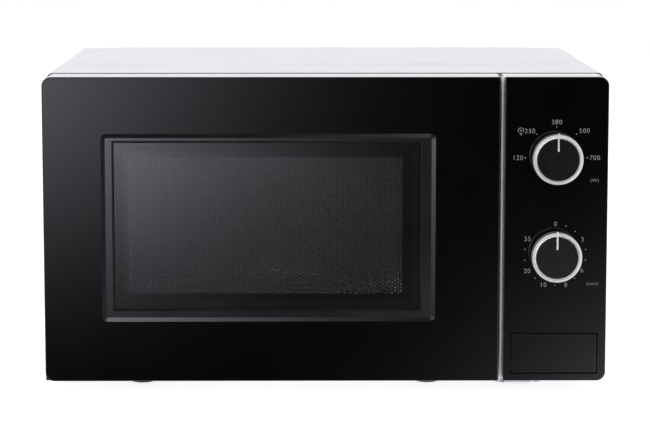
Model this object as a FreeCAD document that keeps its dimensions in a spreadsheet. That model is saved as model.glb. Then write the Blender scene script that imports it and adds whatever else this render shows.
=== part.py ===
"""Solo microwave oven with two dials, built as separate pieces.

The origin is on the floor under the middle of the oven: +X is to the right as a cook sees it, +Y runs to the
back and +Z is up. All lengths are in millimetres.
"""
import FreeCAD, Part
import Sketcher
import math
import os

Vector = FreeCAD.Vector
Rotation = FreeCAD.Rotation

doc = FreeCAD.newDocument("MicrowaveOven")
cells = doc.addObject("Spreadsheet::Sheet", "Dims")

# ---------------------------------------------------------------------------------------------
# Driving dimensions
# ---------------------------------------------------------------------------------------------
DIMENSIONS = {
    # the whole oven
    "width": 440.0,
    "half_depth": 181.5,
    "knob_reach": 18.0,
    "panel_bottom": 16.0,
    "panel_height": 239.3,
    "cabinet_top": 256.5,
    "cabinet_bottom": 12.5,
    "cabinet_edge": 5.0,
    "rear_standoff": 2.0,
    "wrap_lap": 1.0,
    "base_bottom": 10.5,
    "base_sheet": 1.0,
    "thin_sheet": 0.8,
    "heavy_sheet": 1.2,
    "moulding_wall": 2.5,
    # the raised field pressed into the cabinet's top
    "field_width": 410.0,
    "field_front": 107.0,
    "field_back": 325.0,
    "field_corner": 40.0,
    "field_rise": 2.0,
    "field_slope": 60.0,
    # the door and the control panel
    "door_width": 355.8,
    "door_depth": 36.0,
    "panel_seam": 3.5,
    "lip_reach": 2.1,
    "lip_width": 1.4,
    "lip_setback": 3.0,
    "lip_depth": 6.5,
    "lip_web": 2.0,
    "seal_gap": 1.5,
    "fascia_thickness": 4.0,
    "front_corner": 7.0,
    "front_edge": 0.8,
    # the window, measured from the oven's middle and from the panel's bottom edge
    "window_left": -174.8,
    "window_right": 85.8,
    "window_low": 47.5,
    "window_high": 195.2,
    "window_bevel": 3.3,
    "window_recess": 0.2,
    "pane_margin": 9.7,
    "pane_gap": 1.3,
    "pane_thickness": 3.4,
    "pane_chamfer": 0.5,
    # the cavity
    "cavity_middle": -45.0,
    "cavity_width": 306.0,
    "cavity_height": 205.0,
    "cavity_floor": 33.5,
    "cavity_depth": 300.0,
    # the hinge line
    "hinge_inset": 6.8,
    "hinge_setback": 24.0,
    "hinge_pin": 3.0,
    "hinge_arm": 9.2,
    "hinge_plate": 2.5,
    # the knobs and dials
    "dial_x": 179.45,
    "power_dial_rise": 176.4,
    "timer_dial_rise": 100.1,
    "ring_radius": 19.55,
    "face_radius": 16.3,
    "shaft_radius": 3.0,
    "running_gap": 0.05,
    # the door-open button
    "button_left": 145.1,
    "button_right": 213.6,
    "button_low": 5.5,
    "button_high": 38.3,
    "button_gap": 1.0,
    "button_corner": 1.5,
    # the turntable
    "glass_radius": 127.5,
    "glass_thickness": 4.0,
    "roller_height": 7.0,
    "roller_gap": 0.3,
    "roller_track": 89.5,
    "roller_width": 7.0,
    # the latch
    "latch_left": 127.2,
    "latch_thickness": 4.0,
    "upper_hook": 200.0,
    "lower_hook": 76.0,
    "hook_height": 8.0,
    # the compartment beside the cavity
    "fan_x": 163.5,
    "fan_z": 180.0,
    "fan_radius": 48.0,
    "transformer_x": 160.0,
}

for row, (alias, number) in enumerate(DIMENSIONS.items(), start=1):
    cells.set("A%d" % row, alias)
    cells.set("B%d" % row, str(number))
    cells.setAlias("B%d" % row, alias)
doc.recompute()


class Size:
    """A length that carries its value and the spreadsheet expression that drives it."""

    def __init__(self, text, value):
        self.text = text
        self.value = value

    def __add__(self, other):
        return combined(self, "+", other, self.value + number_of(other))

    def __sub__(self, other):
        return combined(self, "-", other, self.value - number_of(other))

    def __mul__(self, other):
        return combined(self, "*", other, self.value * number_of(other))

    def __truediv__(self, other):
        return combined(self, "/", other, self.value / number_of(other))

    def __radd__(self, other):
        return combined(other, "+", self, number_of(other) + self.value)

    def __rsub__(self, other):
        return combined(other, "-", self, number_of(other) - self.value)

    def __rmul__(self, other):
        return combined(other, "*", self, number_of(other) * self.value)

    def __neg__(self):
        return Size("(0 - %s)" % self.text, -self.value)


def number_of(amount):
    return amount.value if isinstance(amount, Size) else float(amount)


def text_of(amount):
    return amount.text if isinstance(amount, Size) else "(%.6f)" % amount


def combined(first, sign, second, value):
    return Size("(%s %s %s)" % (text_of(first), sign, text_of(second)), value)


def dim(alias):
    return Size("Dims." + alias, float(cells.get(alias)))


# ---------------------------------------------------------------------------------------------
# Places worked out from the driving dimensions
# ---------------------------------------------------------------------------------------------
half_width = dim("width") / 2
panel_front = dim("knob_reach") - dim("half_depth")
fascia_back = panel_front + dim("fascia_thickness")
door_back = panel_front + dim("door_depth")
plate_front = door_back + dim("seal_gap")
plate_back = plate_front + dim("heavy_sheet")
wrap_front = plate_front - dim("wrap_lap")
cabinet_back = dim("half_depth") - dim("rear_standoff")
panel_bottom = dim("panel_bottom")
panel_top = panel_bottom + dim("panel_height")
wall = dim("moulding_wall")
sheet = dim("thin_sheet")
base_top = dim("base_bottom") + dim("base_sheet")

door_left = -half_width
door_right = door_left + dim("door_width")
panel_left = door_right + dim("panel_seam")
panel_right = half_width

cavity_left = dim("cavity_middle") - dim("cavity_width") / 2
cavity_right = dim("cavity_middle") + dim("cavity_width") / 2
cavity_floor = dim("cavity_floor")
cavity_roof = cavity_floor + dim("cavity_height")
cavity_rear = plate_back + dim("cavity_depth")

turn_x = dim("cavity_middle")
turn_y = (plate_back + cavity_rear) / 2
roller_axis = cavity_floor + dim("roller_height")
glass_under = cavity_floor + dim("roller_height") * 2

hinge_x = door_left + dim("hinge_inset")
hinge_y = door_back - dim("hinge_setback")
power_z = panel_bottom + dim("power_dial_rise")
timer_z = panel_bottom + dim("timer_dial_rise")
dial_x = dim("dial_x")

# ---------------------------------------------------------------------------------------------
# Small tools that make bound objects
# ---------------------------------------------------------------------------------------------
TURNS = {
    "x": Rotation(Vector(0, 1, 0), 90),
    "y": Rotation(Vector(1, 0, 0), -90),
    "z": Rotation(),
}
# a body's sketch plane turned so that its pad points to the front, to the right or up
FACINGS = {
    "front": Rotation(Vector(1, 0, 0), 90),
    "side": Rotation(Vector(1, 1, 1), 120),
    "up": Rotation(),
}
SUB_PARTS = []


def bind(item, path, amount):
    item.setExpression(path, text_of(amount))


def place(item, turn, x, y, z):
    """Put an object at bound coordinates, turned by a fixed rotation."""
    item.Placement = FreeCAD.Placement(Vector(number_of(x), number_of(y), number_of(z)), turn)
    for axis, amount in (("x", x), ("y", y), ("z", z)):
        bind(item, "Placement.Base." + axis, amount)


def block(name, x, y, z):
    """A box between three (low, high) pairs."""
    item = doc.addObject("Part::Box", name)
    place(item, Rotation(), x[0], y[0], z[0])
    for side, (low, high) in (("Length", x), ("Width", y), ("Height", z)):
        bind(item, side, high - low)
    return item


def rod(name, along, radius, span, centre):
    """A cylinder along one axis: span is its (start, end), centre its two other coordinates."""
    item = doc.addObject("Part::Cylinder", name)
    first, second = centre
    spots = {"x": (span[0], first, second), "y": (first, span[0], second), "z": (first, second, span[0])}
    place(item, TURNS[along], *spots[along])
    bind(item, "Radius", radius)
    bind(item, "Height", span[1] - span[0])
    return item


def cone(name, along, radii, span, centre):
    item = doc.addObject("Part::Cone", name)
    first, second = centre
    spots = {"x": (span[0], first, second), "y": (first, span[0], second), "z": (first, second, span[0])}
    place(item, TURNS[along], *spots[along])
    bind(item, "Radius1", radii[0])
    bind(item, "Radius2", radii[1])
    bind(item, "Height", span[1] - span[0])
    return item


def fuse(name, *items):
    item = doc.addObject("Part::MultiFuse", name)
    item.Shapes = list(items)
    item.Refine = True
    return item


def group(name, *items):
    item = doc.addObject("Part::Compound", name)
    item.Links = list(items)
    return item


def cut(name, base, *tools):
    item = doc.addObject("Part::Cut", name)
    item.Base = base
    item.Tool = tools[0] if len(tools) == 1 else fuse(name + "_tools", *tools)
    item.Refine = True
    return item


def edges_where(item, wanted):
    """Numbers of the object's edges for which wanted(edge) is true."""
    doc.recompute()
    return [n for n, edge in enumerate(item.Shape.Edges, start=1) if wanted(edge)]


def rounded(name, base, radius, wanted):
    item = doc.addObject("Part::Fillet", name)
    item.Base = base
    size = number_of(radius)
    item.Edges = [(n, size, size) for n in edges_where(base, wanted)]
    return item


def chamfered(name, base, size, wanted):
    item = doc.addObject("Part::Chamfer", name)
    item.Base = base
    amount = number_of(size)
    item.Edges = [(n, amount, amount) for n in edges_where(base, wanted)]
    return item


def lies_along(edge, axis):
    """True for a straight edge parallel to the given axis vector."""
    if not isinstance(edge.Curve, (Part.Line, Part.LineSegment)):
        return False
    return edge.tangentAt(edge.FirstParameter).cross(axis).Length < 1e-6


def in_plane(edge, axis, amount):
    """True for an edge that lies wholly at one coordinate, such as y = amount."""
    box = edge.BoundBox
    low, high = {"x": (box.XMin, box.XMax), "y": (box.YMin, box.YMax), "z": (box.ZMin, box.ZMax)}[axis]
    return abs(low - number_of(amount)) < 1e-3 and abs(high - number_of(amount)) < 1e-3


def sketch_in(body, name, plane_role="XY_Plane"):
    plane = [p for p in body.Origin.OriginFeatures if p.Role == plane_role][0]
    sketch = body.newObject("Sketcher::SketchObject", name)
    sketch.AttachmentSupport = [(plane, "")]
    sketch.MapMode = "FlatFace"
    return sketch


def constrain(sketch, label, amount, *where):
    """Add a driving dimension to a sketch and bind it to the spreadsheet."""
    index = sketch.addConstraint(Sketcher.Constraint(*where, number_of(amount)))
    sketch.renameConstraint(index, label)
    bind(sketch, "Constraints." + label, amount)


def draw_rounded_rectangle(sketch, wide, high, radii):
    """A rectangle with its low left corner at the sketch origin.

    radii are those of the low left, low right, high right and high left corners, and 0 is a sharp one.
    """
    w, h = number_of(wide), number_of(high)
    corners = [Vector(0, 0), Vector(w, 0), Vector(w, h), Vector(0, h)]
    size = [number_of(r) for r in radii]
    lines = []
    for n, corner in enumerate(corners):
        following = corners[(n + 1) % 4]
        way = (following - corner).normalize()
        start = corner + way * size[n]
        end = following - way * size[(n + 1) % 4]
        lines.append(sketch.addGeometry(Part.LineSegment(start, end)))
    for line, kind in zip(lines, ("Horizontal", "Vertical", "Horizontal", "Vertical")):
        sketch.addConstraint(Sketcher.Constraint(kind, line))
    for n, radius in enumerate(radii):
        before, after = lines[n - 1], lines[n]
        if size[n] == 0:
            sketch.addConstraint(Sketcher.Constraint("Coincident", before, 2, after, 1))
            continue
        inward = Vector(1 if n in (0, 3) else -1, 1 if n in (0, 1) else -1)
        centre = corners[n] + inward * size[n]
        circle = Part.Circle(centre, Vector(0, 0, 1), size[n])
        begin = math.pi * (1 + 0.5 * n)
        arc = sketch.addGeometry(Part.ArcOfCircle(circle, begin, begin + math.pi / 2))
        sketch.addConstraint(Sketcher.Constraint("Tangent", before, 2, arc, 1))
        sketch.addConstraint(Sketcher.Constraint("Tangent", arc, 2, after, 1))
        constrain(sketch, "corner_%d" % n, radius, "Radius", arc)
    sketch.addConstraint(Sketcher.Constraint("PointOnObject", lines[0], 1, -1))
    sketch.addConstraint(Sketcher.Constraint("PointOnObject", lines[3], 1, -2))
    constrain(sketch, "wide", wide, "DistanceX", -1, 1, lines[1], 1)
    constrain(sketch, "high", high, "DistanceY", -1, 1, lines[2], 1)


def slab(name, facing, x, y, z, radii, taper=0.0):
    """A padded rounded rectangle, drawn in the plane that faces the given way.

    It starts at the face away from that side, and a taper widens it towards that side.
    """
    body = doc.addObject("PartDesign::Body", name)
    starts = {"front": (x[0], y[1], z[0]), "side": (x[0], y[0], z[0]), "up": (x[0], y[0], z[0])}
    spans = {
        "front": (x[1] - x[0], z[1] - z[0], y[1] - y[0]),
        "side": (y[1] - y[0], z[1] - z[0], x[1] - x[0]),
        "up": (x[1] - x[0], y[1] - y[0], z[1] - z[0]),
    }
    wide, high, deep = spans[facing]
    place(body, FACINGS[facing], *starts[facing])
    sketch = sketch_in(body, name + "_outline")
    draw_rounded_rectangle(sketch, wide, high, radii)
    pad = body.newObject("PartDesign::Pad", name + "_pad")
    pad.Profile = sketch
    bind(pad, "Length", deep)
    if taper:
        pad.TaperAngle = number_of(taper)
    return body


def turned(name, along, points, x, y, z, forward=True):
    """A revolved piece: points are (radius, distance along the axis) pairs from the given place."""
    body = doc.addObject("PartDesign::Body", name)
    turn = {
        ("y", True): Rotation(Vector(1, 0, 0), -90),
        ("y", False): Rotation(Vector(1, 0, 0), 90),
        ("z", True): Rotation(),
        ("x", True): Rotation(Vector(0, 1, 0), 90),
    }[(along, forward)]
    place(body, turn, x, y, z)
    sketch = sketch_in(body, name + "_profile", "XZ_Plane")
    count = len(points)
    for n in range(count):
        start, end = points[n], points[(n + 1) % count]
        segment = Part.LineSegment(
            Vector(number_of(start[0]), number_of(start[1])), Vector(number_of(end[0]), number_of(end[1]))
        )
        sketch.addGeometry(segment)
    for n in range(count):
        sketch.addConstraint(Sketcher.Constraint("Coincident", n, 2, (n + 1) % count, 1))
    for n, (radius, rise) in enumerate(points):
        for label, kind, axis, amount in (("r", "DistanceX", -2, radius), ("z", "DistanceY", -1, rise)):
            if number_of(amount) == 0:
                sketch.addConstraint(Sketcher.Constraint("PointOnObject", n, 1, axis))
            else:
                constrain(sketch, "%s_%d" % (label, n), amount, kind, -1, 1, n, 1)
    revolution = body.newObject("PartDesign::Revolution", name + "_turn")
    revolution.Profile = sketch
    revolution.ReferenceAxis = (sketch, ["V_Axis"])
    revolution.Angle = 360
    return body


def bank(name, count, step, x, y, z):
    """Equal boxes in a row: step is the (x, y, z) move from one to the next."""
    boxes = []
    for n in range(count):
        spans = [(low + n * move, high + n * move) for (low, high), move in zip((x, y, z), step)]
        boxes.append(block("%s_%02d" % (name, n), *spans))
    return boxes


def inset(span, amount):
    """A span drawn in by an amount at both ends."""
    return (span[0] + amount, span[1] - amount)


def sub_part(item, label):
    item.Label = label
    SUB_PARTS.append(item)
    return item



# ---------------------------------------------------------------------------------------------
# Cabinet: wrap, base, rear, feet and fasteners
# ---------------------------------------------------------------------------------------------
X, Y, Z = Vector(1, 0, 0), Vector(0, 1, 0), Vector(0, 0, 1)
VENT = 3.0
VENT_PITCH = 6.0
VENT_HEIGHT = 28.0
PAST = 2.0


def raised_field(name, inset, low, high, taper):
    """The rounded field pressed into the cabinet's top, from the height low to high."""
    x = (-dim("field_width") / 2 + inset, dim("field_width") / 2 - inset)
    y = (panel_front + dim("field_front") + inset, panel_front + dim("field_back") - inset)
    corner = dim("field_corner") - inset
    return slab(name, "up", x, y, (low, high), [corner] * 4, taper)


def cabinet_wrap():
    top = dim("cabinet_top")
    outside = block(
        "wrap_outside", (-half_width, half_width), (wrap_front, cabinet_back), (dim("cabinet_bottom"), top)
    )
    outer_shape = rounded(
        "wrap_rounded", outside, dim("cabinet_edge"), lambda e: lies_along(e, Y) and in_plane(e, "z", top)
    )
    inside_x = (sheet - half_width, half_width - sheet)
    hollow = block(
        "wrap_hollow", inside_x, (wrap_front - PAST, cabinet_back + PAST), (base_top - PAST, top - sheet)
    )
    inner_shape = rounded(
        "wrap_hollow_rounded",
        hollow,
        dim("cabinet_edge") - sheet,
        lambda e: lies_along(e, Y) and in_plane(e, "z", top - sheet),
    )
    slope = -dim("field_slope")
    field = raised_field("field_outside", 0, top, top + dim("field_rise"), slope)
    pressed = raised_field("field_inside", sheet, top - sheet, top + dim("field_rise") - sheet, slope)
    shell = fuse("wrap_shell", outer_shape, field)
    right = (half_width - PAST * 2, half_width + PAST)
    left = (-half_width - PAST, PAST * 2 - half_width)
    step = (0, VENT_PITCH, 0)
    vents = []
    for low in (40.0, 78.0):
        z = (low, low + VENT_HEIGHT)
        vents += bank("wrap_inlet_%d" % low, 16, step, right, (62, 62 + VENT), z)
    for low in (150.0, 188.0):
        z = (low, low + VENT_HEIGHT)
        vents += bank("wrap_side_vent_%d" % low, 12, step, right, (-80, -80 + VENT), z)
        vents += bank("wrap_outlet_%d" % low, 12, step, left, (80, 80 + VENT), z)
    body = cut("wrap_open", shell, inner_shape, pressed, group("wrap_vents", *vents))
    return sub_part(body, "cabinet_wrap")


# the feet: round rubber ones, and a wide one pressed from steel in front of the transformer
FRONT_FEET_Y = -80.0
REAR_FEET_Y = 140.0
ROUND_FEET = [(-149, FRONT_FEET_Y), (83.7, FRONT_FEET_Y), (-149, REAR_FEET_Y), (150, REAR_FEET_Y)]
WIDE_FOOT_X = (138.5, 176.5)
WIDE_FOOT_Y = (FRONT_FEET_Y - 10, FRONT_FEET_Y + 10)
FOOT_SHEET = 1.5


def base_plate():
    """The bottom sheet with its lips, and the pressed cup welded under it as a foot."""
    x = (sheet - half_width + 0.6, half_width - sheet - 0.6)
    rear = cabinet_back - sheet * 2
    floor = block("base_floor", x, (plate_back, rear), (dim("base_bottom"), base_top))
    lip = base_top + 10
    left_lip = block("base_left_lip", (x[0], x[0] + 1), (-90, rear), (base_top - 0.5, lip))
    right_lip = block("base_right_lip", (x[1] - 1, x[1]), (-90, rear), (base_top - 0.5, lip))
    rear_lip = block("base_rear_lip", x, (rear - 1, rear), (base_top - 0.5, lip))
    cup = slab("base_wide_foot", "up", WIDE_FOOT_X, WIDE_FOOT_Y, (0, dim("base_bottom")), [8.0] * 4)
    dish_x, dish_y = inset(WIDE_FOOT_X, FOOT_SHEET), inset(WIDE_FOOT_Y, FOOT_SHEET)
    dish = slab("base_wide_dish", "up", dish_x, dish_y, (FOOT_SHEET, base_top + 1), [8.0 - FOOT_SHEET] * 4)
    slots = bank("base_vent", 12, (0, 8, 0), (185, 209), (-40, -40 + VENT), (dim("base_bottom") - PAST, lip))
    slots += bank(
        "base_left_vent", 8, (9, 0, 0), (-110, -110 + VENT), (100, 140), (dim("base_bottom") - PAST, lip)
    )
    holes = [
        rod("base_foot_hole_%d" % n, "z", 2.1, (5, base_top + 1), spot) for n, spot in enumerate(ROUND_FEET)
    ]
    solid = fuse("base_solid", floor, left_lip, right_lip, rear_lip)
    tray = cut("base_open", solid, group("base_slots", *slots), group("base_holes", *holes))
    return sub_part(group("base_all", tray, cut("base_foot", cup, dish)), "base_plate")


def round_feet():
    feet = []
    for n, spot in enumerate(ROUND_FEET):
        foot = cone("foot_cone_%d" % n, "z", (9.5, 11.5), (0, dim("base_bottom")), spot)
        soft = rounded("foot_soft_%d" % n, foot, 1.2, lambda e: in_plane(e, "z", 0))
        bore = rod("foot_bore_%d" % n, "z", 4.5, (-1, 6), spot)
        hole = rod("foot_hole_%d" % n, "z", 2.0, (5, 12), spot)
        feet.append(cut("foot_%d" % n, soft, bore, hole))
    return sub_part(group("feet_all", *feet), "round_feet")


def foot_screws():
    """Pan-head screws up through the feet."""
    screws = []
    for n, spot in enumerate(ROUND_FEET):
        head = rod("foot_screw_head_%d" % n, "z", 3.6, (3.6, 6), spot)
        shank = rod("foot_screw_shank_%d" % n, "z", 1.95, (6, base_top + 3), spot)
        screws.append(fuse("foot_screw_%d" % n, head, shank))
    return screws


REAR_SCREWS = [(-208, 246), (0, 246), (208, 246), (-208, 28), (208, 28)]
REAR_BUMPS = [(-150, 215), (150, 245), (-150, 60), (60, 60)]
CORD_SPOT = (190, 48)
SLOT_PITCH = 7.0
SLOT_HALF = 1.6


def rear_plate():
    """The back sheet, with pressed bumps that hold the oven off a wall and a slotted fan grille."""
    x = (sheet - half_width + 0.2, half_width - sheet - 0.2)
    inner = cabinet_back - sheet
    through = (inner - 1, cabinet_back + 1)
    z = (base_top - 0.5, dim("cabinet_top") - sheet - 0.4)
    corner = dim("cabinet_edge") - 0.5
    panel = slab("rear_sheet", "front", x, (inner, cabinet_back), z, [0, 0, corner, corner])
    bumps, hollows = [], []
    for n, spot in enumerate(REAR_BUMPS):
        bumps.append(cone("rear_bump_%d" % n, "y", (11, 7), (cabinet_back, dim("half_depth")), spot))
        span = (inner, dim("half_depth") - sheet)
        hollows.append(cone("rear_bump_hollow_%d" % n, "y", (10.6, 6), span, spot))
    slots = []
    fan_radius = number_of(dim("fan_radius"))
    rows = int(fan_radius // SLOT_PITCH)
    for n in range(-rows, rows + 1):
        reach = math.sqrt(max(fan_radius**2 - (n * SLOT_PITCH) ** 2, 0.0)) - 3.0
        if reach < 6.0:
            continue
        z = dim("fan_z") + n * SLOT_PITCH
        for side, span in (("a", (-reach, -2.0)), ("b", (2.0, reach))):
            x_span = (dim("fan_x") + span[0], dim("fan_x") + span[1])
            name = "rear_slot_%s%02d" % (side, n + rows)
            slots.append(block(name, x_span, through, (z - SLOT_HALF, z + SLOT_HALF)))
    holes = [rod("rear_hole_%d" % n, "y", 2.1, through, spot) for n, spot in enumerate(REAR_SCREWS)]
    outlet = rod("rear_cord_hole", "y", 6.05, through, CORD_SPOT)
    solid = fuse("rear_solid", panel, *bumps)
    body = cut(
        "rear_open", solid, group("rear_hollows", *hollows), group("rear_slots", *slots), outlet, *holes
    )
    return sub_part(body, "rear_plate")


def cord_gland():
    inner = cabinet_back - sheet
    flange = rod("gland_flange", "y", 9, (cabinet_back, dim("half_depth")), CORD_SPOT)
    stem = rod("gland_stem", "y", 6, (inner - 6, cabinet_back), CORD_SPOT)
    bore = rod("gland_bore", "y", 3.6, (inner - 7, dim("half_depth") + 1), CORD_SPOT)
    return sub_part(cut("gland", fuse("gland_solid", flange, stem), bore), "cord_gland")


def cabinet_screws():
    """The cross-head screws in the back, and those in the feet."""
    screws = foot_screws()
    for n, spot in enumerate(REAR_SCREWS):
        head = rod("rear_screw_head_%d" % n, "y", 4, (cabinet_back, cabinet_back + 1.7), spot)
        shank = rod("rear_screw_shank_%d" % n, "y", 2.0, (cabinet_back - 4, cabinet_back), spot)
        slot = [
            block(
                "rear_screw_cross_%s%d" % (tag, n),
                (spot[0] - a, spot[0] + a),
                (cabinet_back + 0.9, cabinet_back + 3),
                (spot[1] - b, spot[1] + b),
            )
            for tag, a, b in (("h", 2.2, 0.4), ("v", 0.4, 2.2))
        ]
        screws.append(cut("rear_screw_%d" % n, fuse("rear_screw_solid_%d" % n, head, shank), *slot))
    return sub_part(group("rear_screws_all", *screws), "cabinet_screws")


# ---------------------------------------------------------------------------------------------
# Cavity and front plate
# ---------------------------------------------------------------------------------------------
LATCH_SLOT = 10.5
COVER_Y = (-22.0, 52.0)
COVER_Z = (150.0, 192.0)


def front_plate():
    x = (1 - half_width, half_width - 1)
    low, high = base_top, dim("cabinet_top") - sheet - 0.3
    corner = dim("cabinet_edge") - 0.5
    corners = [0, 0, corner, corner]
    face = slab("front_face", "front", x, (plate_front, plate_back), (low, high), corners)
    flange_back = plate_back + 9
    outer = slab("front_flange", "front", x, (plate_back - 0.5, flange_back), (low, high), corners)
    inner = block(
        "front_flange_hollow", (x[0] + 1, x[1] - 1), (plate_front - 1, flange_back + 1), (low + 1, high - 1)
    )
    through = (plate_front - 1, flange_back + 1)
    mouth = block("front_mouth", (cavity_left, cavity_right), through, (cavity_floor, cavity_roof))
    controls = block("front_controls", (148, 212), through, (60, 222))
    plunger = block("front_plunger", inset(PLUNGER_X, -2.5), through, inset(PLUNGER_Z, -3))
    hooks = []
    for n, level in enumerate((dim("upper_hook"), dim("lower_hook"))):
        left = dim("latch_left") - 1.6
        hooks.append(
            block("front_hook_slot_%d" % n, (left, left + LATCH_SLOT), through, (level - 9, level + 15))
        )
    arm = dim("hinge_arm") / 2
    notch = block("front_hinge_notch", (hinge_x - arm - 6, hinge_x + arm + 0.2), through, (243.7, 246.8))
    low_notch = block("front_low_notch", (hinge_x - arm - 6, -189), through, (0, LOWER_ARM_Z[1] + 0.5))
    ring = cut("front_ring", outer, inner)
    body = cut(
        "front_open", fuse("front_solid", face, ring), mouth, controls, plunger, *hooks, notch, low_notch
    )
    return sub_part(body, "front_plate")


def hole_field(name, radius, span, count, corner, pitch):
    """A grid of round holes through a side wall, from its front lower corner."""
    holes = []
    for row in range(count[1]):
        for n in range(count[0]):
            spot = (corner[0] + pitch * n, corner[1] + pitch * row)
            holes.append(rod("%s_%d%d" % (name, row, n), "x", radius, span, spot))
    return holes


def oven_cavity():
    x = (cavity_left - sheet, cavity_right + sheet)
    z = (cavity_floor - sheet, cavity_roof + sheet)
    outer = block("cavity_outside", x, (plate_back, cavity_rear + sheet), z)
    deep = (plate_back - 1, cavity_rear)
    inside = block("cavity_inside", (cavity_left, cavity_right), deep, (cavity_floor, cavity_roof))
    right = (cavity_right - 1, cavity_right + sheet + 1)
    feed = block("cavity_feed", right, (-10, 40), (155, 187))
    left = (cavity_left - sheet - 1, cavity_left + 1)
    lamp = hole_field("cavity_lamp_hole", 1.6, right, (5, 3), (88, 205), 5)
    vents = hole_field("cavity_vent_hole", 1.7, left, (8, 4), (100, 205), 5.5)
    shaft = rod("cavity_shaft_hole", "z", 5, (cavity_floor - sheet - 1, cavity_floor + 1), (turn_x, turn_y))
    body = cut("cavity_open", cut("cavity_shell", outer, inside), feed, shaft, *lamp, *vents)
    return sub_part(body, "oven_cavity")


def waveguide_cover():
    """The mica sheet that keeps splashes out of the waveguide."""
    body = slab("mica", "side", (cavity_right - 0.6, cavity_right), COVER_Y, COVER_Z, [4.0] * 4)
    return sub_part(body, "waveguide_cover")


# ---------------------------------------------------------------------------------------------
# Hinges
# ---------------------------------------------------------------------------------------------
UPPER_ARM_Z = (244.0, 246.5)
LOWER_ARM_Z = (17.0, 19.5)
UPPER_SLOT_Z = (243.2, 247.2)
LOWER_SLOT_Z = (15.0, 20.1)
UPPER_PIN_TOP = 251.4
LOWER_PIN_TOP = 24.6
UPPER_BUSH_X = (-217.0, -205.0)
LOWER_BUSH_X = (-220.0, -205.0)
BUSH_Y = (-159.5, -143.0)
UPPER_BUSH_Z = (247.2, 252.0)
LOWER_BUSH_Z = (16.0, 26.0)


def hinge_arm_solid(name, z, rear):
    arm = dim("hinge_arm") / 2
    x = (hinge_x - arm, hinge_x + arm)
    bar = block(name + "_bar", x, (hinge_y, rear), z)
    nose = rod(name + "_nose", "z", arm, z, (hinge_x, hinge_y))
    return [bar, nose]


def hinge_brackets():
    """The two steel brackets whose pins carry the door."""
    left = hinge_x - dim("hinge_arm") / 2
    upper = hinge_arm_solid("upper_hinge", UPPER_ARM_Z, plate_back + 2)
    upper.append(
        block("upper_hinge_foot", (left, -200.5), (plate_back, plate_back + 2), (222, UPPER_ARM_Z[1]))
    )
    upper.append(
        rod("upper_hinge_pin", "z", dim("hinge_pin"), (UPPER_ARM_Z[0], UPPER_PIN_TOP), (hinge_x, hinge_y))
    )
    lower = hinge_arm_solid("lower_hinge", LOWER_ARM_Z, -100)
    lower.append(block("lower_hinge_foot", (left, -190), (-123, -100), LOWER_ARM_Z))
    lower.append(block("lower_hinge_riser", (left, -190), (-106, -100), (base_top, LOWER_ARM_Z[1])))
    lower.append(
        rod("lower_hinge_pin", "z", dim("hinge_pin"), (LOWER_ARM_Z[0], LOWER_PIN_TOP), (hinge_x, hinge_y))
    )
    pair = group("hinge_pair", fuse("upper_hinge_solid", *upper), fuse("lower_hinge_solid", *lower))
    return sub_part(pair, "hinge_brackets")


def arm_sweep(name, z):
    """The room that the door needs round a hinge arm, from closed to fully open."""
    right = hinge_x + dim("hinge_arm") / 2 + 0.8
    return block(name, (door_left - 1, right), (-157.4, door_back + 1), z)


def bush_blocks(name):
    """The two door bushes as plain blocks, also used to make room for them."""
    spans = ((UPPER_BUSH_X, UPPER_BUSH_Z), (LOWER_BUSH_X, LOWER_BUSH_Z))
    return [block("%s_%d" % (name, n), x, BUSH_Y, z) for n, (x, z) in enumerate(spans)]


def hinge_bushes():
    """Black bushes pressed into the door's left corners; the lower one fills the corner."""
    upper, lower = bush_blocks("bush")
    radius = dim("hinge_pin") + dim("running_gap")
    upper_span = (UPPER_BUSH_Z[0] - 1, UPPER_BUSH_Z[1] - 0.3)
    lower_span = (LOWER_BUSH_Z[0] - 1, LOWER_BUSH_Z[1] - 1)
    upper_bore = rod("bush_upper_bore", "z", radius, upper_span, (hinge_x, hinge_y))
    lower_bore = rod("bush_lower_bore", "z", radius, lower_span, (hinge_x, hinge_y))
    upper_cut = cut("bush_upper", upper, upper_bore)
    lower_cut = cut("bush_lower", lower, lower_bore, arm_sweep("bush_arm_room", LOWER_SLOT_Z))
    return sub_part(group("bush_pair", upper_cut, lower_cut), "hinge_bushes")


# ---------------------------------------------------------------------------------------------
# Door
# ---------------------------------------------------------------------------------------------
window_left, window_right = dim("window_left"), dim("window_right")
window_low = panel_bottom + dim("window_low")
window_high = panel_bottom + dim("window_high")
bevel = dim("window_bevel")
pane_left = window_left + dim("pane_margin")
pane_right = window_right - dim("pane_margin") - 2.1
pane_low = window_low + dim("pane_margin") - 0.1
pane_high = window_high - dim("pane_margin") + 3.1
gap = dim("pane_gap")
SHARP = 1.0


def window_outline(name, y):
    """The rounded rectangle that the window takes out of the fascia."""
    corner = bevel + SHARP
    return slab(name, "front", (window_left, window_right), y, (window_low, window_high), [corner] * 4)


def door_fascia():
    """The glossy black face round the window."""
    corner = dim("front_corner")
    face = slab(
        "fascia_plate",
        "front",
        (door_left, door_right),
        (panel_front, fascia_back),
        (panel_bottom, panel_top),
        [corner, SHARP, SHARP, corner],
    )
    soft = rounded("fascia_soft", face, dim("front_edge"), lambda e: in_plane(e, "y", panel_front))
    window = window_outline("fascia_window", (panel_front - 1, fascia_back + 1))
    return sub_part(cut("fascia_open", soft, window), "door_fascia")


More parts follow.
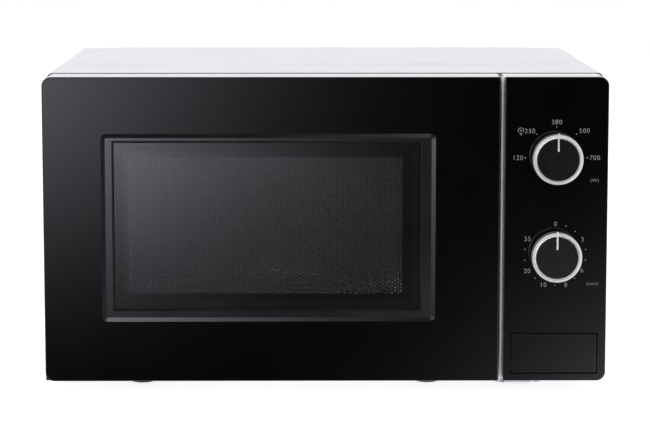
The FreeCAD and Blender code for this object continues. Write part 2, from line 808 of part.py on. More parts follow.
def window_surround():
    """The glossy ring let into the fascia: a bevel down to a flat band round the pane."""
    plate = window_outline("surround_plate", (panel_front, fascia_back))
    floor = panel_front + dim("window_recess")
    recess = slab(
        "surround_recess",
        "front",
        (window_left + bevel, window_right - bevel),
        (panel_front - dim("window_recess"), floor),
        (window_low + bevel, window_high - bevel),
        [SHARP] * 4,
        math.degrees(math.atan2(number_of(bevel), number_of(dim("window_recess")))),
    )
    opening = slab(
        "surround_opening",
        "front",
        (pane_left - gap, pane_right + gap),
        (floor - 1, fascia_back + 1),
        (pane_low - gap, pane_high + gap),
        [SHARP] * 4,
    )
    return sub_part(cut("surround_open", plate, recess, opening), "window_surround")


GASKET_X = (-168.5, 78.0)
GASKET_Z = (69.5, 208.0)


def door_frame():
    """The white moulding that carries the fascia, open at the back."""
    corner = dim("front_corner")
    outer = slab(
        "frame_outside",
        "front",
        (door_left, door_right),
        (fascia_back, door_back),
        (panel_bottom, panel_top),
        [corner, SHARP, SHARP, corner],
    )
    hollow = slab(
        "frame_inside",
        "front",
        (door_left + wall, door_right - wall),
        (fascia_back + wall, door_back + PAST),
        (panel_bottom + wall, panel_top - wall),
        [corner - wall, SHARP, SHARP, corner - wall],
    )
    ribs = []
    for n, level in enumerate((104.0, 168.0)):
        rib_y = (fascia_back + 1, -150.3)
        ribs.append(block("frame_rib_%d" % n, (126.3, door_right - 1), rib_y, (level, level + 10)))
    for n, level in enumerate((19.0, 247.0)):
        for m, x in enumerate((-150.0, -50.0, 50.0)):
            low = level if n else level - 1.5
            ribs.append(
                block("frame_web_%d%d" % (n, m), (x, x + 2), (fascia_back + 1, -153.0), (low, low + 7))
            )
    stop = block("frame_spring_stop", (126.3, door_right - 1), (-150.5, -136), (237, 240))
    window = block("frame_window", GASKET_X, (fascia_back - 1, -150), GASKET_Z)
    sweeps = [arm_sweep("frame_upper_room", UPPER_SLOT_Z), arm_sweep("frame_lower_room", LOWER_SLOT_Z)]
    shell = cut("frame_shell", outer, hollow)
    body = cut(
        "frame_open", fuse("frame_solid", shell, *ribs, stop), window, *sweeps, *bush_blocks("frame_bush")
    )
    return sub_part(body, "door_frame")


def door_pane():
    """The tinted glass that fills the recess."""
    front = fascia_back - dim("pane_thickness")
    x, z = (pane_left, pane_right), (pane_low, pane_high)
    glass = slab("pane_plate", "front", x, (front, fascia_back), z, [SHARP] * 4)
    soft = chamfered("pane_soft", glass, dim("pane_chamfer"), lambda e: in_plane(e, "y", front))
    return sub_part(soft, "door_pane")


def window_gasket():
    through = (fascia_back - 1, fascia_back + wall + 1)
    outer = block("gasket_outside", GASKET_X, (fascia_back, fascia_back + wall), GASKET_Z)
    inner = block("gasket_inside", inset(GASKET_X, 10.5), through, inset(GASKET_Z, 10.5))
    return sub_part(cut("gasket", outer, inner), "window_gasket")


CHOKE_X = (-206.0, 126.0)
CHOKE_Z = (27.0, 242.0)
CHOKE_MOUTH_X = (-190.0, 104.0)
CHOKE_MOUTH_Z = (43.0, 226.0)
CHOKE_Y = (-152.0, -129.5)


def door_screen():
    """The steel sheet behind the pane; its fine perforation is left to the finished model."""
    y = (CHOKE_Y[0] - 0.6, CHOKE_Y[0])
    return sub_part(block("screen_sheet", inset(CHOKE_X, 4.0), y, inset(CHOKE_Z, 4.0)), "door_screen")


def choke_frame():
    """The folded steel channel round the door's back that keeps the microwaves in."""
    outer = block("choke_outside", CHOKE_X, CHOKE_Y, CHOKE_Z)
    channel = block("choke_channel", inset(CHOKE_X, sheet), (CHOKE_Y[0] + sheet, 0), inset(CHOKE_Z, sheet))
    island = block("choke_island", inset(CHOKE_MOUTH_X, -sheet), CHOKE_Y, inset(CHOKE_MOUTH_Z, -sheet))
    mouth = block("choke_mouth", CHOKE_MOUTH_X, (CHOKE_Y[0] - 1, 0), CHOKE_MOUTH_Z)
    shell = cut("choke_shell", outer, channel)
    return sub_part(cut("choke_open", fuse("choke_solid", shell, island), mouth), "choke_frame")


def choke_cover():
    """The plastic rim on the door's back, notched for the hinge arm and slotted for the hooks."""
    y = (CHOKE_Y[1], door_back)
    outer = block("cover_outside", (-217.2, 132.8), y, (18.8, 252.5))
    through = (CHOKE_Y[1] - 1, 0)
    inner = slab("cover_inside", "front", (-182, 92), (CHOKE_Y[1] - 1, door_back + 1), (50, 219), [5.0] * 4)
    notch = block("cover_notch", (-220, -207.5), through, (242.5, 260))
    low_notch = block("cover_low_notch", (-220, -207.5), through, (0, 26.5))
    slots = []
    for n, level in enumerate((dim("upper_hook"), dim("lower_hook"))):
        left = dim("latch_left") - 0.8
        slots.append(block("cover_slot_%d" % n, (left, left + 5.6), through, (level - 7.5, level + 13.5)))
    return sub_part(cut("cover_open", outer, inner, notch, low_notch, *slots), "choke_cover")


def inner_window():
    y = (CHOKE_Y[1] - 0.6, CHOKE_Y[1])
    return sub_part(block("film", inset(CHOKE_MOUTH_X, 0.4), y, inset(CHOKE_MOUTH_Z, 0.4)), "inner_window")


def latch_hooks():
    """The sliding latch: one bar with two hooks that reach through the front plate."""
    x = (dim("latch_left"), dim("latch_left") + dim("latch_thickness"))
    bar = block("hook_bar", x, (-150, -138), (60, 216))
    arms = []
    for n, level in enumerate((dim("upper_hook"), dim("lower_hook"))):
        arms.append(block("hook_arm_%d" % n, x, (-139, -104), (level, level + dim("hook_height"))))
        arms.append(block("hook_nose_%d" % n, x, (-110, -104), (level - 6, level + 1)))
    return sub_part(fuse("hooks", bar, *arms), "latch_hooks")


def coil(name, along, radius, wire, start, length, turns, centre):
    """A closed-wound spring: a round wire swept along a helix."""
    helix = doc.addObject("Part::Helix", name + "_line")
    helix.Radius = radius
    helix.Pitch = (number_of(length) - 2 * wire) / turns
    helix.Height = number_of(length) - 2 * wire
    ring = doc.addObject("Part::Circle", name + "_wire")
    ring.Radius = wire
    ring.Placement = FreeCAD.Placement(Vector(radius, 0, 0), Rotation(Vector(1, 0, 0), 90))
    sweep = doc.addObject("Part::Sweep", name + "_sweep")
    sweep.Sections = [ring]
    sweep.Spine = (helix, [])
    sweep.Solid = True
    sweep.Frenet = True
    holder = doc.addObject("Part::Compound", name)
    holder.Links = [sweep]
    first, second = centre
    spots = {"y": (first, start + wire, second), "z": (first, second, start + wire)}
    place(holder, TURNS[along], *spots[along])
    return holder


def latch_spring():
    x = dim("latch_left") + dim("latch_thickness") / 2
    return sub_part(coil("latch_coil", "z", 2.6, 0.4, 216.1, 20.8, 8, (x, -144.0)), "latch_spring")


# ---------------------------------------------------------------------------------------------
# Control panel: frame, fascia, button and knobs
# ---------------------------------------------------------------------------------------------
button_x = (dim("button_left"), dim("button_right"))
button_z = (panel_bottom + dim("button_low"), panel_bottom + dim("button_high"))


def control_fascia():
    corner = dim("front_corner")
    face = slab(
        "control_plate",
        "front",
        (panel_left, panel_right),
        (panel_front, fascia_back),
        (panel_bottom, panel_top),
        [SHARP, corner, corner, SHARP],
    )
    soft = rounded("control_soft", face, dim("front_edge"), lambda e: in_plane(e, "y", panel_front))
    through = (panel_front - 1, fascia_back + 1)
    window = slab("control_window", "front", button_x, through, button_z, [dim("button_corner")] * 4)
    holes = [
        rod("control_hole_%d" % n, "y", 5, through, (dial_x, z)) for n, z in enumerate((power_z, timer_z))
    ]
    return sub_part(cut("control_open", soft, window, *holes), "control_fascia")


def control_panel_frame():
    """The white moulding behind the panel, with a lip that closes the seam beside the door."""
    corner = dim("front_corner")
    z = (panel_bottom, panel_top)
    x, corners = (panel_left, panel_right), [SHARP, corner, corner, SHARP]
    outer = slab("panel_outside", "front", x, (fascia_back, wrap_front), z, corners)
    lip_front = fascia_back + dim("lip_setback")
    lip_back = lip_front + dim("lip_depth")
    lip_left = panel_left - dim("lip_reach")
    lip_z = inset(z, 0.5)
    lip = block("panel_lip", (lip_left, lip_left + dim("lip_width")), (lip_front, lip_back), lip_z)
    web = block("panel_lip_web", (lip_left, panel_left + 1), (lip_back - dim("lip_web"), lip_back), lip_z)
    hollow = slab(
        "panel_inside",
        "front",
        (panel_left + wall, panel_right - wall),
        (fascia_back + wall, plate_front + PAST),
        (panel_bottom + wall, panel_top - wall),
        [SHARP, corner - wall, corner - wall, SHARP],
    )
    through = (fascia_back - 1, fascia_back + wall + 1)
    window = block("panel_window", inset(button_x, -0.5), through, inset(button_z, -0.5))
    holes = [rod("panel_hole_%d" % n, "y", 6, through, (dial_x, z)) for n, z in enumerate((power_z, timer_z))]
    posts = []
    for n, spot in enumerate([(146.5, 232), (212.5, 232), (146.5, 66), (212.5, 66)]):
        posts.append(rod("panel_post_%d" % n, "y", 3.2, (fascia_back + 1, plate_front), spot))
    shell = cut("panel_shell", outer, hollow)
    return sub_part(
        cut("panel_open", fuse("panel_solid", shell, lip, web, *posts), window, *holes), "control_panel_frame"
    )


PLUNGER_X = (148.5, 157.5)
PLUNGER_Z = (28.0, 33.0)
PLUNGER_TIP = -121.1
SPRING_SPOT = (188.0, 37.9)


def door_open_button():
    face_x = inset(button_x, dim("button_gap"))
    face_z = inset(button_z, dim("button_gap"))
    back = panel_front + 3
    cap = slab("button_cap", "front", face_x, (panel_front, back), face_z, [dim("button_corner")] * 4)
    soft = rounded("button_soft", cap, 0.5, lambda e: in_plane(e, "y", panel_front))
    skirt = block("button_skirt", inset(face_x, 1), (back - 1, back + 10), inset(face_z, 1))
    hollow = block("button_hollow", inset(face_x, 3), (back, back + 11), inset(face_z, 3))
    plunger = block("button_plunger", PLUNGER_X, (back - 1, PLUNGER_TIP), PLUNGER_Z)
    guide = rod("button_guide", "y", 3, (back - 1, back + 14), SPRING_SPOT)
    shell = cut("button_shell", fuse("button_box", soft, skirt), hollow)
    return sub_part(fuse("button", shell, plunger, guide), "door_open_button")


def button_spring():
    start = panel_front + 3.1
    length = plate_front - 0.1 - start
    return sub_part(coil("button_coil", "y", 4.2, 0.45, start, length, 11, SPRING_SPOT), "button_spring")


POINTER_HALF = 0.65
POINTER_START = 6.5


def knob(tag, z):
    """A knob in three pieces: dark body, bright trim with its pointer, and the shaft it turns."""
    face, ring = dim("face_radius"), dim("ring_radius")
    reach = dim("knob_reach")
    bore = dim("shaft_radius") + dim("running_gap")
    profile = [
        (bore, 2.0),
        (6.0, 2.0),
        (6.0, 14.0),
        (14.0, 14.0),
        (14.0, 0.6),
        (ring - 1.6, 0.6),
        (ring - 1.3, 8.0),
        (face, 8.0),
        (face, reach - 1.1),
        (face - 0.5, reach - 0.6),
        (0.0, reach - 0.6),
        (0.0, 12.9),
        (bore, 12.9),
    ]
    body = turned(tag + "_knob_body", "y", profile, dial_x, panel_front, z, forward=False)
    rim = [
        (face, 8.0),
        (ring - 0.6, 8.0),
        (ring, 8.6),
        (ring, reach - 2.0),
        (ring - 0.3, reach - 1.0),
        (ring - 1.1, reach - 0.25),
        (ring - 2.0, reach),
        (ring - 2.6, reach - 0.1),
        (face, reach - 0.9),
    ]
    trim_ring = turned(tag + "_trim_ring", "y", rim, dial_x, panel_front, z, forward=False)
    bar_x = (dial_x - POINTER_HALF, dial_x + POINTER_HALF)
    bar_y = (panel_front - reach, panel_front - reach + 1.2)
    pointer = block(tag + "_pointer_bar", bar_x, bar_y, (z + POINTER_START, z + ring + 1))
    room = block(tag + "_pointer_room", bar_x, bar_y, (z + POINTER_START, z + face + 0.1))
    shaft_rod = rod(tag + "_shaft_rod", "y", dim("shaft_radius"), (panel_front - 12.8, -141.5), (dial_x, z))
    collar = rod(tag + "_shaft_collar", "y", 4.2, (-141.5, -139.5), (dial_x, z))
    sub_part(cut(tag + "_knob_cut", body, room), tag + "_knob")
    sub_part(fuse(tag + "_trim", trim_ring, pointer), tag + "_knob_trim")
    sub_part(fuse(tag + "_shaft_solid", shaft_rod, collar), tag + "_shaft")


TIMER_BACK = -118.0
SELECTOR_BACK = -128.0


def clockwork(tag, label, z, half_wide, half_high, back):
    """The closed mechanism behind a knob, with a running bore for its shaft and room for the collar."""
    front = fascia_back + wall
    x = (dial_x - half_wide, dial_x + half_wide)
    case = block(tag + "_case", x, (front, back), (z - half_high, z + half_high))
    soft = rounded(tag + "_soft", case, 2.0, lambda e: lies_along(e, Y))
    bore = rod(tag + "_bore", "y", dim("shaft_radius") + dim("running_gap"), (front - 1, -142), (dial_x, z))
    room = rod(tag + "_room", "y", 4.6, (-142, -139.1), (dial_x, z))
    return sub_part(cut(tag + "_open", soft, bore, room), label)


def timer_bell():
    profile = [
        (0.0, 0.0),
        (2.0, 0.0),
        (2.0, 7.0),
        (16.0, 1.0),
        (17.0, 1.0),
        (17.0, 2.0),
        (12.0, 6.5),
        (5.0, 8.6),
        (0.0, 9.0),
    ]
    return sub_part(turned("bell", "y", profile, dial_x, TIMER_BACK, timer_z), "timer_bell")


# ---------------------------------------------------------------------------------------------
# Latch board, switches and lever
# ---------------------------------------------------------------------------------------------
AXLE_Y, AXLE_Z, AXLE_R = -118.0, 60.0, 4.0
BOARD_X = (115.5, 118.5)
CHEEK_X = (161.0, 164.0)


def latch_board():
    board = block("latch_sheet", BOARD_X, (-123.5, -72), (20, 222))
    shelf = block("latch_shelf", (BOARD_X[0], CHEEK_X[1]), (-123.5, -112), (20, 23))
    cheek = block("latch_cheek", CHEEK_X, (-123.5, -112), (20, 68))
    boss = rod("latch_boss", "x", 7, (BOARD_X[0], 123.5), (AXLE_Y + 1.5, AXLE_Z))
    parts = [board, shelf, cheek, boss]
    for n, level in enumerate((dim("upper_hook"), dim("lower_hook"))):
        top = level - 6 - 0.6
        parts.append(block("latch_ledge_%d" % n, (BOARD_X[0], 138), (-103.2, -96), (top - 6, top + 3)))
    bores = [rod("latch_axle_bore", "x", AXLE_R + 0.05, (118.6, 162.5), (AXLE_Y, AXLE_Z))]
    for n, z in enumerate((35.0, 110.0, 180.0, 215.0)):
        bores.append(rod("latch_hole_%d" % n, "x", 2.2, (BOARD_X[0] - 1, BOARD_X[1] + 1), (-80, z)))
    return sub_part(cut("latch_open", fuse("latch_solid", *parts), *bores), "latch_board")


def interlock_switches():
    """The three small switches that the hooks and the lever work."""
    switches = []
    for n, level in enumerate((96.0, 112.0, 172.0)):
        case = block("switch_case_%d" % n, (BOARD_X[1], BOARD_X[1] + 10), (-104, -84), (level, level + 12))
        button_wide = (BOARD_X[1] + 4, BOARD_X[1] + 6)
        button = block("switch_button_%d" % n, button_wide, (-105.2, -103.5), (level + 8, level + 10))
        tab = (BOARD_X[1] + 4.6, BOARD_X[1] + 5.4)
        tabs = bank("switch_tab_%d" % n, 3, (0, 0, 4), tab, (-84.5, -78), (level + 1, level + 3))
        switches.append(fuse("switch_%d" % n, case, button, *tabs))
    return sub_part(group("switches_all", *switches), "interlock_switches")


def latch_lever():
    """The lever that the button swings and that lifts the lower hook."""
    axle = rod("lever_axle", "x", AXLE_R, (119, 162.2), (AXLE_Y, AXLE_Z))
    arm = block("lever_arm", (148, 158), (-120.6, -115.6), (PLUNGER_Z[0] - 1, AXLE_Z))
    finger = block("lever_finger", (126.6, 131.8), (-118, -105), (AXLE_Z - 2, AXLE_Z + 5.0))
    return sub_part(fuse("lever", axle, arm, finger), "latch_lever")


# ---------------------------------------------------------------------------------------------
# Power supply, magnetron, air and light
# ---------------------------------------------------------------------------------------------
GUIDE_X = (cavity_right + sheet, cavity_right + sheet + 36)
GUIDE_Y = (-30.0, 60.0)
GUIDE_Z = (148.0, 236.0)
TUBE_Y, TUBE_Z = 15.0, 212.0


def waveguide():
    outer = block("guide_outside", GUIDE_X, GUIDE_Y, GUIDE_Z)
    inner = block("guide_inside", (GUIDE_X[0] - 1, GUIDE_X[1] - 1), inset(GUIDE_Y, 1), inset(GUIDE_Z, 1))
    hole = rod("guide_hole", "x", 11, (GUIDE_X[1] - 2, GUIDE_X[1] + 1), (TUBE_Y, TUBE_Z))
    return sub_part(cut("guide", outer, inner, hole), "waveguide")


def magnetron():
    """The tube in its yoke, with cooling fins, antenna and filter box."""
    left = GUIDE_X[1]
    span = (left, left + 52)
    y, z = (TUBE_Y - 40, TUBE_Y + 40), (TUBE_Z - 32, TUBE_Z + 32)
    yoke = block("tube_yoke", span, y, z)
    room = block("tube_room", inset(span, 2), (y[0] - 1, y[1] + 1), inset(z, 2))
    parts = [cut("tube_shell", yoke, room), rod("tube_anode", "x", 19, inset(span, 1), (TUBE_Y, TUBE_Z))]
    for n in range(7):
        x = span[0] + 8 + 6 * n
        parts.append(block("tube_fin_%d" % n, (x, x + 0.8), inset(y, 4), inset(z, 1)))
    parts.append(rod("tube_neck", "x", 10, (left - 6, left + 3), (TUBE_Y, TUBE_Z)))
    parts.append(rod("tube_antenna", "x", 7, (left - 24, left), (TUBE_Y, TUBE_Z)))
    parts.append(
        block(
            "tube_filter",
            (span[1] - 0.5, span[1] + 18),
            (TUBE_Y - 28, TUBE_Y + 28),
            (TUBE_Z - 24, TUBE_Z + 24),
        ),
    )
    return sub_part(fuse("tube", *parts), "magnetron")


CORE_Y = (-58.0, 0.0)
CORE_HALF = 44.0
CORE_HEIGHT = 72.0


def transformer_windows(name, grow, y):
    x = dim("transformer_x")
    z = (base_top + 15 - grow, base_top + CORE_HEIGHT - 15 + grow)
    left = block(name + "_left", (x - 30 - grow, x - 15), y, z)
    right = block(name + "_right", (x + 15, x + 30 + grow), y, z)
    return [left, right]


def transformer_core():
    x = dim("transformer_x")
    core = block("core_block", (x - CORE_HALF, x + CORE_HALF), CORE_Y, (base_top, base_top + CORE_HEIGHT))
    windows = transformer_windows("core_window", 0, (CORE_Y[0] - 1, CORE_Y[1] + 1))
    return sub_part(cut("core", core, *windows), "transformer_core")


def transformer_windings():
    x = dim("transformer_x")
    windings = []
    for n, (low, high) in enumerate(((15.5, 33.0), (35.0, 56.5))):
        y = (CORE_Y[0] - 13, CORE_Y[1] + 13)
        z = (base_top + low, base_top + high)
        outer = slab("winding_%d" % n, "up", (x - 29.5, x + 29.5), y, z, [12.0] * 4)
        leg = block("winding_leg_%d" % n, (x - 15.3, x + 15.3), inset(CORE_Y, -0.3), (z[0] - 1, z[1] + 1))
        windings.append(cut("winding_cut_%d" % n, outer, leg))
    return sub_part(group("windings_all", *windings), "transformer_windings")


CAN_X, CAN_Y, CAN_Z = (116.0, 150.0), (70.0, 124.0), (14.0, 104.0)


def hv_capacitor():
    can = slab("can_body", "up", CAN_X, CAN_Y, CAN_Z, [16.0] * 4)
    posts = [
        block("can_tab_%d" % n, (132, 133), (y, y + 6), (CAN_Z[1] - 1, CAN_Z[1] + 12))
        for n, y in enumerate((84, 104))
    ]
    return sub_part(fuse("can", can, *posts), "hv_capacitor")


def capacitor_clamp():
    z = (50.0, 62.0)
    band = slab("clamp_outside", "up", inset(CAN_X, -1), inset(CAN_Y, -1), z, [17.0] * 4)
    bore = slab("clamp_inside", "up", inset(CAN_X, 0), inset(CAN_Y, 0), (z[0] - 1, z[1] + 1), [16.0] * 4)
    foot = block("clamp_foot", (CAN_X[1] + 0.5, CAN_X[1] + 1.7), (90, 104), (base_top, z[1]))
    sole = block("clamp_sole", (CAN_X[1] + 0.5, CAN_X[1] + 12), (90, 104), (base_top, base_top + 1.2))
    return sub_part(fuse("clamp", cut("clamp_band", band, bore), foot, sole), "capacitor_clamp")


def hv_diode():
    body = rod("diode_body", "y", 4, (58, 78), (156, 74))
    leads = rod("diode_leads", "y", 0.8, (48, 88), (156, 74))
    tag = block("diode_tag", (155.2, 156.8), (86, 94), (70, 78))
    return sub_part(fuse("diode", body, leads, tag), "hv_diode")


FAN_SHROUD_Y = (150.0, 176.0)
FAN_BLADE_Y = (156.0, 170.0)
MOTOR_Y = (118.0, 140.0)


def fan_shroud():
    x, z = dim("fan_x"), dim("fan_z")
    half = dim("fan_radius") + 4.5
    frame = block("shroud_frame", (x - half, x + half), FAN_SHROUD_Y, (z - half, z + half))
    bore = rod("shroud_bore", "y", dim("fan_radius") + 2, (FAN_SHROUD_Y[0] - 1, FAN_SHROUD_Y[1] + 1), (x, z))
    bars = []
    for n, rise in enumerate((-16.0, 10.0)):
        bar_z = (z + rise, z + rise + 6)
        bars.append(block("shroud_bar_%d" % n, (x - half, x + half), (MOTOR_Y[1], MOTOR_Y[1] + 4), bar_z))
        for m, side in enumerate((-1, 1)):
            edge = x + side * (half - 2)
            post_y = (MOTOR_Y[1], FAN_SHROUD_Y[0] + 1)
            bars.append(block("shroud_post_%d%d" % (n, m), (edge - 2, edge + 2), post_y, bar_z))
    return sub_part(fuse("shroud", cut("shroud_ring", frame, bore), *bars), "fan_shroud")


def fan_motor():
    x, z = dim("fan_x"), dim("fan_z")
    core = block("motor_core", (x - 24, x + 24), MOTOR_Y, (z - 34, z + 24))
    gap_hole = block("motor_gap", (x - 14, x + 14), (MOTOR_Y[0] - 1, MOTOR_Y[1] + 1), (z - 26, z - 14))
    winding = slab(
        "motor_winding",
        "front",
        (x - 13, x + 13),
        (MOTOR_Y[0] - 6, MOTOR_Y[1] - 1),
        (z - 31, z - 12),
        [4.0] * 4,
    )
    bearing = rod("motor_bearing", "y", 9, (MOTOR_Y[0] - 4, MOTOR_Y[1] + 3), (x, z))
    shaft = rod("motor_shaft_bore", "y", 1.55, (MOTOR_Y[1] - 8, MOTOR_Y[1] + 5), (x, z))
    solid = fuse("motor_solid", cut("motor_frame", core, gap_hole), winding, bearing)
    return sub_part(cut("motor", solid, shaft), "fan_motor")


BLADE_COUNT = 5
BLADE_SWEEP = 50.0
BLADE_PITCH = 28.0


def fan_blade():
    """A hub with five tilted blades, made from turned boxes cut to a ring."""
    x, z = dim("fan_x"), dim("fan_z")
    hub = rod("blade_hub", "y", 11, FAN_BLADE_Y, (x, z))
    stem = rod("blade_stem", "y", 1.5, (MOTOR_Y[1] - 7, FAN_BLADE_Y[0] + 1), (x, z))
    limit = rod("blade_limit", "y", dim("fan_radius"), FAN_BLADE_Y, (x, z))
    blades = []
    middle = Vector(number_of(x), sum(FAN_BLADE_Y) / 2, number_of(z))
    for n in range(BLADE_COUNT):
        blade = doc.addObject("Part::Box", "blade_%d" % n)
        blade.Length = 60
        blade.Width = 1.4
        blade.Height = 26
        spin = Rotation(Y, n * 360.0 / BLADE_COUNT)
        tilt = Rotation(X, BLADE_PITCH)
        lead = FreeCAD.Placement(Vector(8, -0.7, -13), Rotation())
        blade.Placement = FreeCAD.Placement(middle, spin * tilt).multiply(lead)
        blades.append(blade)
    both = doc.addObject("Part::MultiCommon", "blade_common")
    both.Shapes = [fuse("blade_set", *blades), limit]
    return sub_part(fuse("blade_all", both, hub, stem), "fan_blade")


def air_duct():
    """The moulded duct that leads the magnetron's warm air to the cavity wall."""
    x = (GUIDE_X[0] + 0.4, GUIDE_X[1] + 50)
    y, z = (-70.0, GUIDE_Y[0] - 0.5), (182.0, 246.0)
    outer = block("duct_outside", x, y, z)
    inner = block("duct_inside", inset(x, 1.5), (y[0] + 1.5, y[1] + 1), inset(z, 1.5))
    mouth = block("duct_mouth", (x[0] - 1, x[0] + 2), (y[0] + 6, y[1] - 6), inset(z, 8))
    return sub_part(cut("duct", outer, inner, mouth), "air_duct")


def noise_filter_board():
    board = block("filter_board", (164, 214), (70, 146), (28, 29.6))
    corners = [(168, 76), (210, 76), (168, 142), (210, 142)]
    posts = [rod("filter_post_%d" % n, "z", 2.4, (base_top, 28.5), spot) for n, spot in enumerate(corners)]
    choke = rod("filter_choke", "z", 11, (29, 44), (189, 90))
    bore = rod("filter_choke_bore", "z", 5, (29.7, 46), (189, 90))
    box = block("filter_box", (174, 204), (112, 124), (29, 48))
    fuse_tube = rod("filter_fuse", "x", 3, (176, 202), (135, 33))
    solid = fuse("filter_solid", board, *posts, choke, box, fuse_tube)
    return sub_part(cut("filter", solid, bore), "noise_filter_board")


def thermal_cutouts():
    discs = []
    for n, (y, z) in enumerate(((-50.0, 150.0), (70.0, 195.0))):
        disc = rod("cutout_disc_%d" % n, "x", 8, (cavity_right + sheet, cavity_right + sheet + 8), (y, z))
        tab_x = (cavity_right + 8, cavity_right + 16)
        tabs = bank("cutout_tab_%d" % n, 2, (0, 8, 0), tab_x, (y - 5, y - 3), (z - 3, z + 3))
        discs.append(fuse("cutout_%d" % n, disc, *tabs))
    return sub_part(group("cutouts_all", *discs), "thermal_cutouts")


LAMP_Y, LAMP_Z = 98.0, 212.0


def lamp_holder():
    """The hood that holds the lamp in front of the cavity's light holes."""
    x = (cavity_right + sheet, cavity_right + sheet + 34)
    outer = block("lamp_hood", x, (LAMP_Y - 18, LAMP_Y + 18), (LAMP_Z - 18, LAMP_Z + 18))
    inner = block("lamp_room", (x[0] - 1, x[1] - 2), (LAMP_Y - 16, LAMP_Y + 16), (LAMP_Z - 16, LAMP_Z + 16))
    hole = rod("lamp_hole", "x", 7.05, (x[1] - 3, x[1] + 1), (LAMP_Y, LAMP_Z))
    return sub_part(cut("lamp_hood_open", outer, inner, hole), "lamp_holder")


def oven_lamp():
    x = cavity_right + sheet + 6
    profile = [(0, 0), (5, 0.8), (9, 4), (10.5, 9), (9.5, 14), (7, 19), (7, 36), (0, 36)]
    points = [(float(r), float(s)) for r, s in profile]
    return sub_part(turned("bulb", "x", points, x, LAMP_Y, LAMP_Z), "oven_lamp")


# ---------------------------------------------------------------------------------------------
# Turntable
# ---------------------------------------------------------------------------------------------
SHAFT_R = 3.5


def turntable_motor():
    z = (cavity_floor - sheet - 15, cavity_floor - sheet)
    can = rod("drive_can", "z", 25, z, (turn_x, turn_y))
    ears = slab(
        "drive_ears",
        "up",
        (turn_x - 33, turn_x + 33),
        (turn_y - 7, turn_y + 7),
        (z[1] - 1.2, z[1]),
        [6.9] * 4,
    )
    plug = block("drive_plug", (turn_x - 9, turn_x + 9), (turn_y + 22, turn_y + 34), (z[0] + 2, z[1] - 3))
    bore = rod("drive_bore", "z", SHAFT_R + 0.05, (z[1] - 10, z[1] + 1), (turn_x, turn_y))
    return sub_part(cut("drive", fuse("drive_solid", can, ears, plug), bore), "turntable_motor")


LOBE_REACH = 19.0
LOBE_HALF = 3.5


def spokes(name, count, first, half, reach, z, centre, start=0.0):
    """Flat arms spread round a centre, from one radius out to another."""
    arms = []
    for n in range(count):
        arm = doc.addObject("Part::Box", "%s_%d" % (name, n))
        bind(arm, "Length", reach - start)
        bind(arm, "Width", Size(text_of(half * 2), number_of(half) * 2))
        bind(arm, "Height", z[1] - z[0])
        angle = first + n * 360.0 / count
        lead = FreeCAD.Placement(Vector(number_of(start), -number_of(half), 0), Rotation())
        spot = Vector(number_of(centre[0]), number_of(centre[1]), number_of(z[0]))
        arm.Placement = FreeCAD.Placement(spot, Rotation(Z, angle)).multiply(lead)
        arms.append(arm)
    return arms


def turntable_coupler():
    centre = (turn_x, turn_y)
    stem = rod("coupler_stem", "z", SHAFT_R, (cavity_floor - sheet - 9, cavity_floor + 4), centre)
    hub = rod("coupler_hub", "z", 8, (cavity_floor + 2.5, glass_under - 0.3), centre)
    lobes = spokes(
        "coupler_lobe", 3, 90.0, LOBE_HALF, LOBE_REACH, (cavity_floor + 7, glass_under - 0.3), centre
    )
    return sub_part(fuse("coupler", stem, hub, *lobes), "turntable_coupler")


ROLLER_ANGLES = (30.0, 150.0, 270.0)


def roller_ring():
    """The floating ring with its three stub axles."""
    centre = (turn_x, turn_y)
    z = (roller_axis - 3, roller_axis + 3)
    outer = rod("ring_outer", "z", 84, z, centre)
    inner = rod("ring_inner", "z", 80, (z[0] - 1, z[1] + 1), centre)
    hub_z = (z[0], z[0] + 3)
    hub = rod("ring_hub", "z", 30, hub_z, centre)
    hub_bore = rod("ring_hub_bore", "z", 25.5, (hub_z[0] - 1, hub_z[1] + 1), centre)
    arms = spokes("ring_arm", 3, 90.0, 3.0, 81.5, hub_z, centre, 28.0)
    stubs = []
    for n, angle in enumerate(ROLLER_ANGLES):
        stub = doc.addObject("Part::Cylinder", "ring_stub_%d" % n)
        stub.Radius = 2.0
        bind(stub, "Height", dim("roller_track") + dim("roller_width") / 2 + 1.5 - 82)
        turn = Rotation(Z, angle) * TURNS["x"]
        middle = Vector(number_of(turn_x), number_of(turn_y), number_of(roller_axis))
        out = Rotation(Z, angle).multVec(Vector(82, 0, 0))
        stub.Placement = FreeCAD.Placement(middle + out, turn)
        stubs.append(stub)
    solid = fuse(
        "ring_solid", cut("ring_band", outer, inner), cut("ring_centre", hub, hub_bore), *arms, *stubs
    )
    return sub_part(solid, "roller_ring")


def rollers():
    half = number_of(dim("roller_width")) / 2
    radius = number_of(dim("roller_height") - dim("roller_gap"))
    for n, angle in enumerate(ROLLER_ANGLES, start=1):
        out = Rotation(Z, angle).multVec(Vector(number_of(dim("roller_track")) - half, 0, 0))
        middle = Vector(number_of(turn_x), number_of(turn_y), number_of(roller_axis))
        pieces = []
        for tag, size, grow in (("wheel", radius, 0.0), ("bore", 2.05, 1.0)):
            piece = doc.addObject("Part::Cylinder", "roller_%s_%d" % (tag, n))
            piece.Radius = size
            piece.Height = 2 * half + 2 * grow
            shift = Rotation(Z, angle).multVec(Vector(-grow, 0, 0))
            piece.Placement = FreeCAD.Placement(middle + out + shift, Rotation(Z, angle) * TURNS["x"])
            pieces.append(piece)
        sub_part(cut("roller_cut_%d" % n, *pieces), "roller_%d" % n)


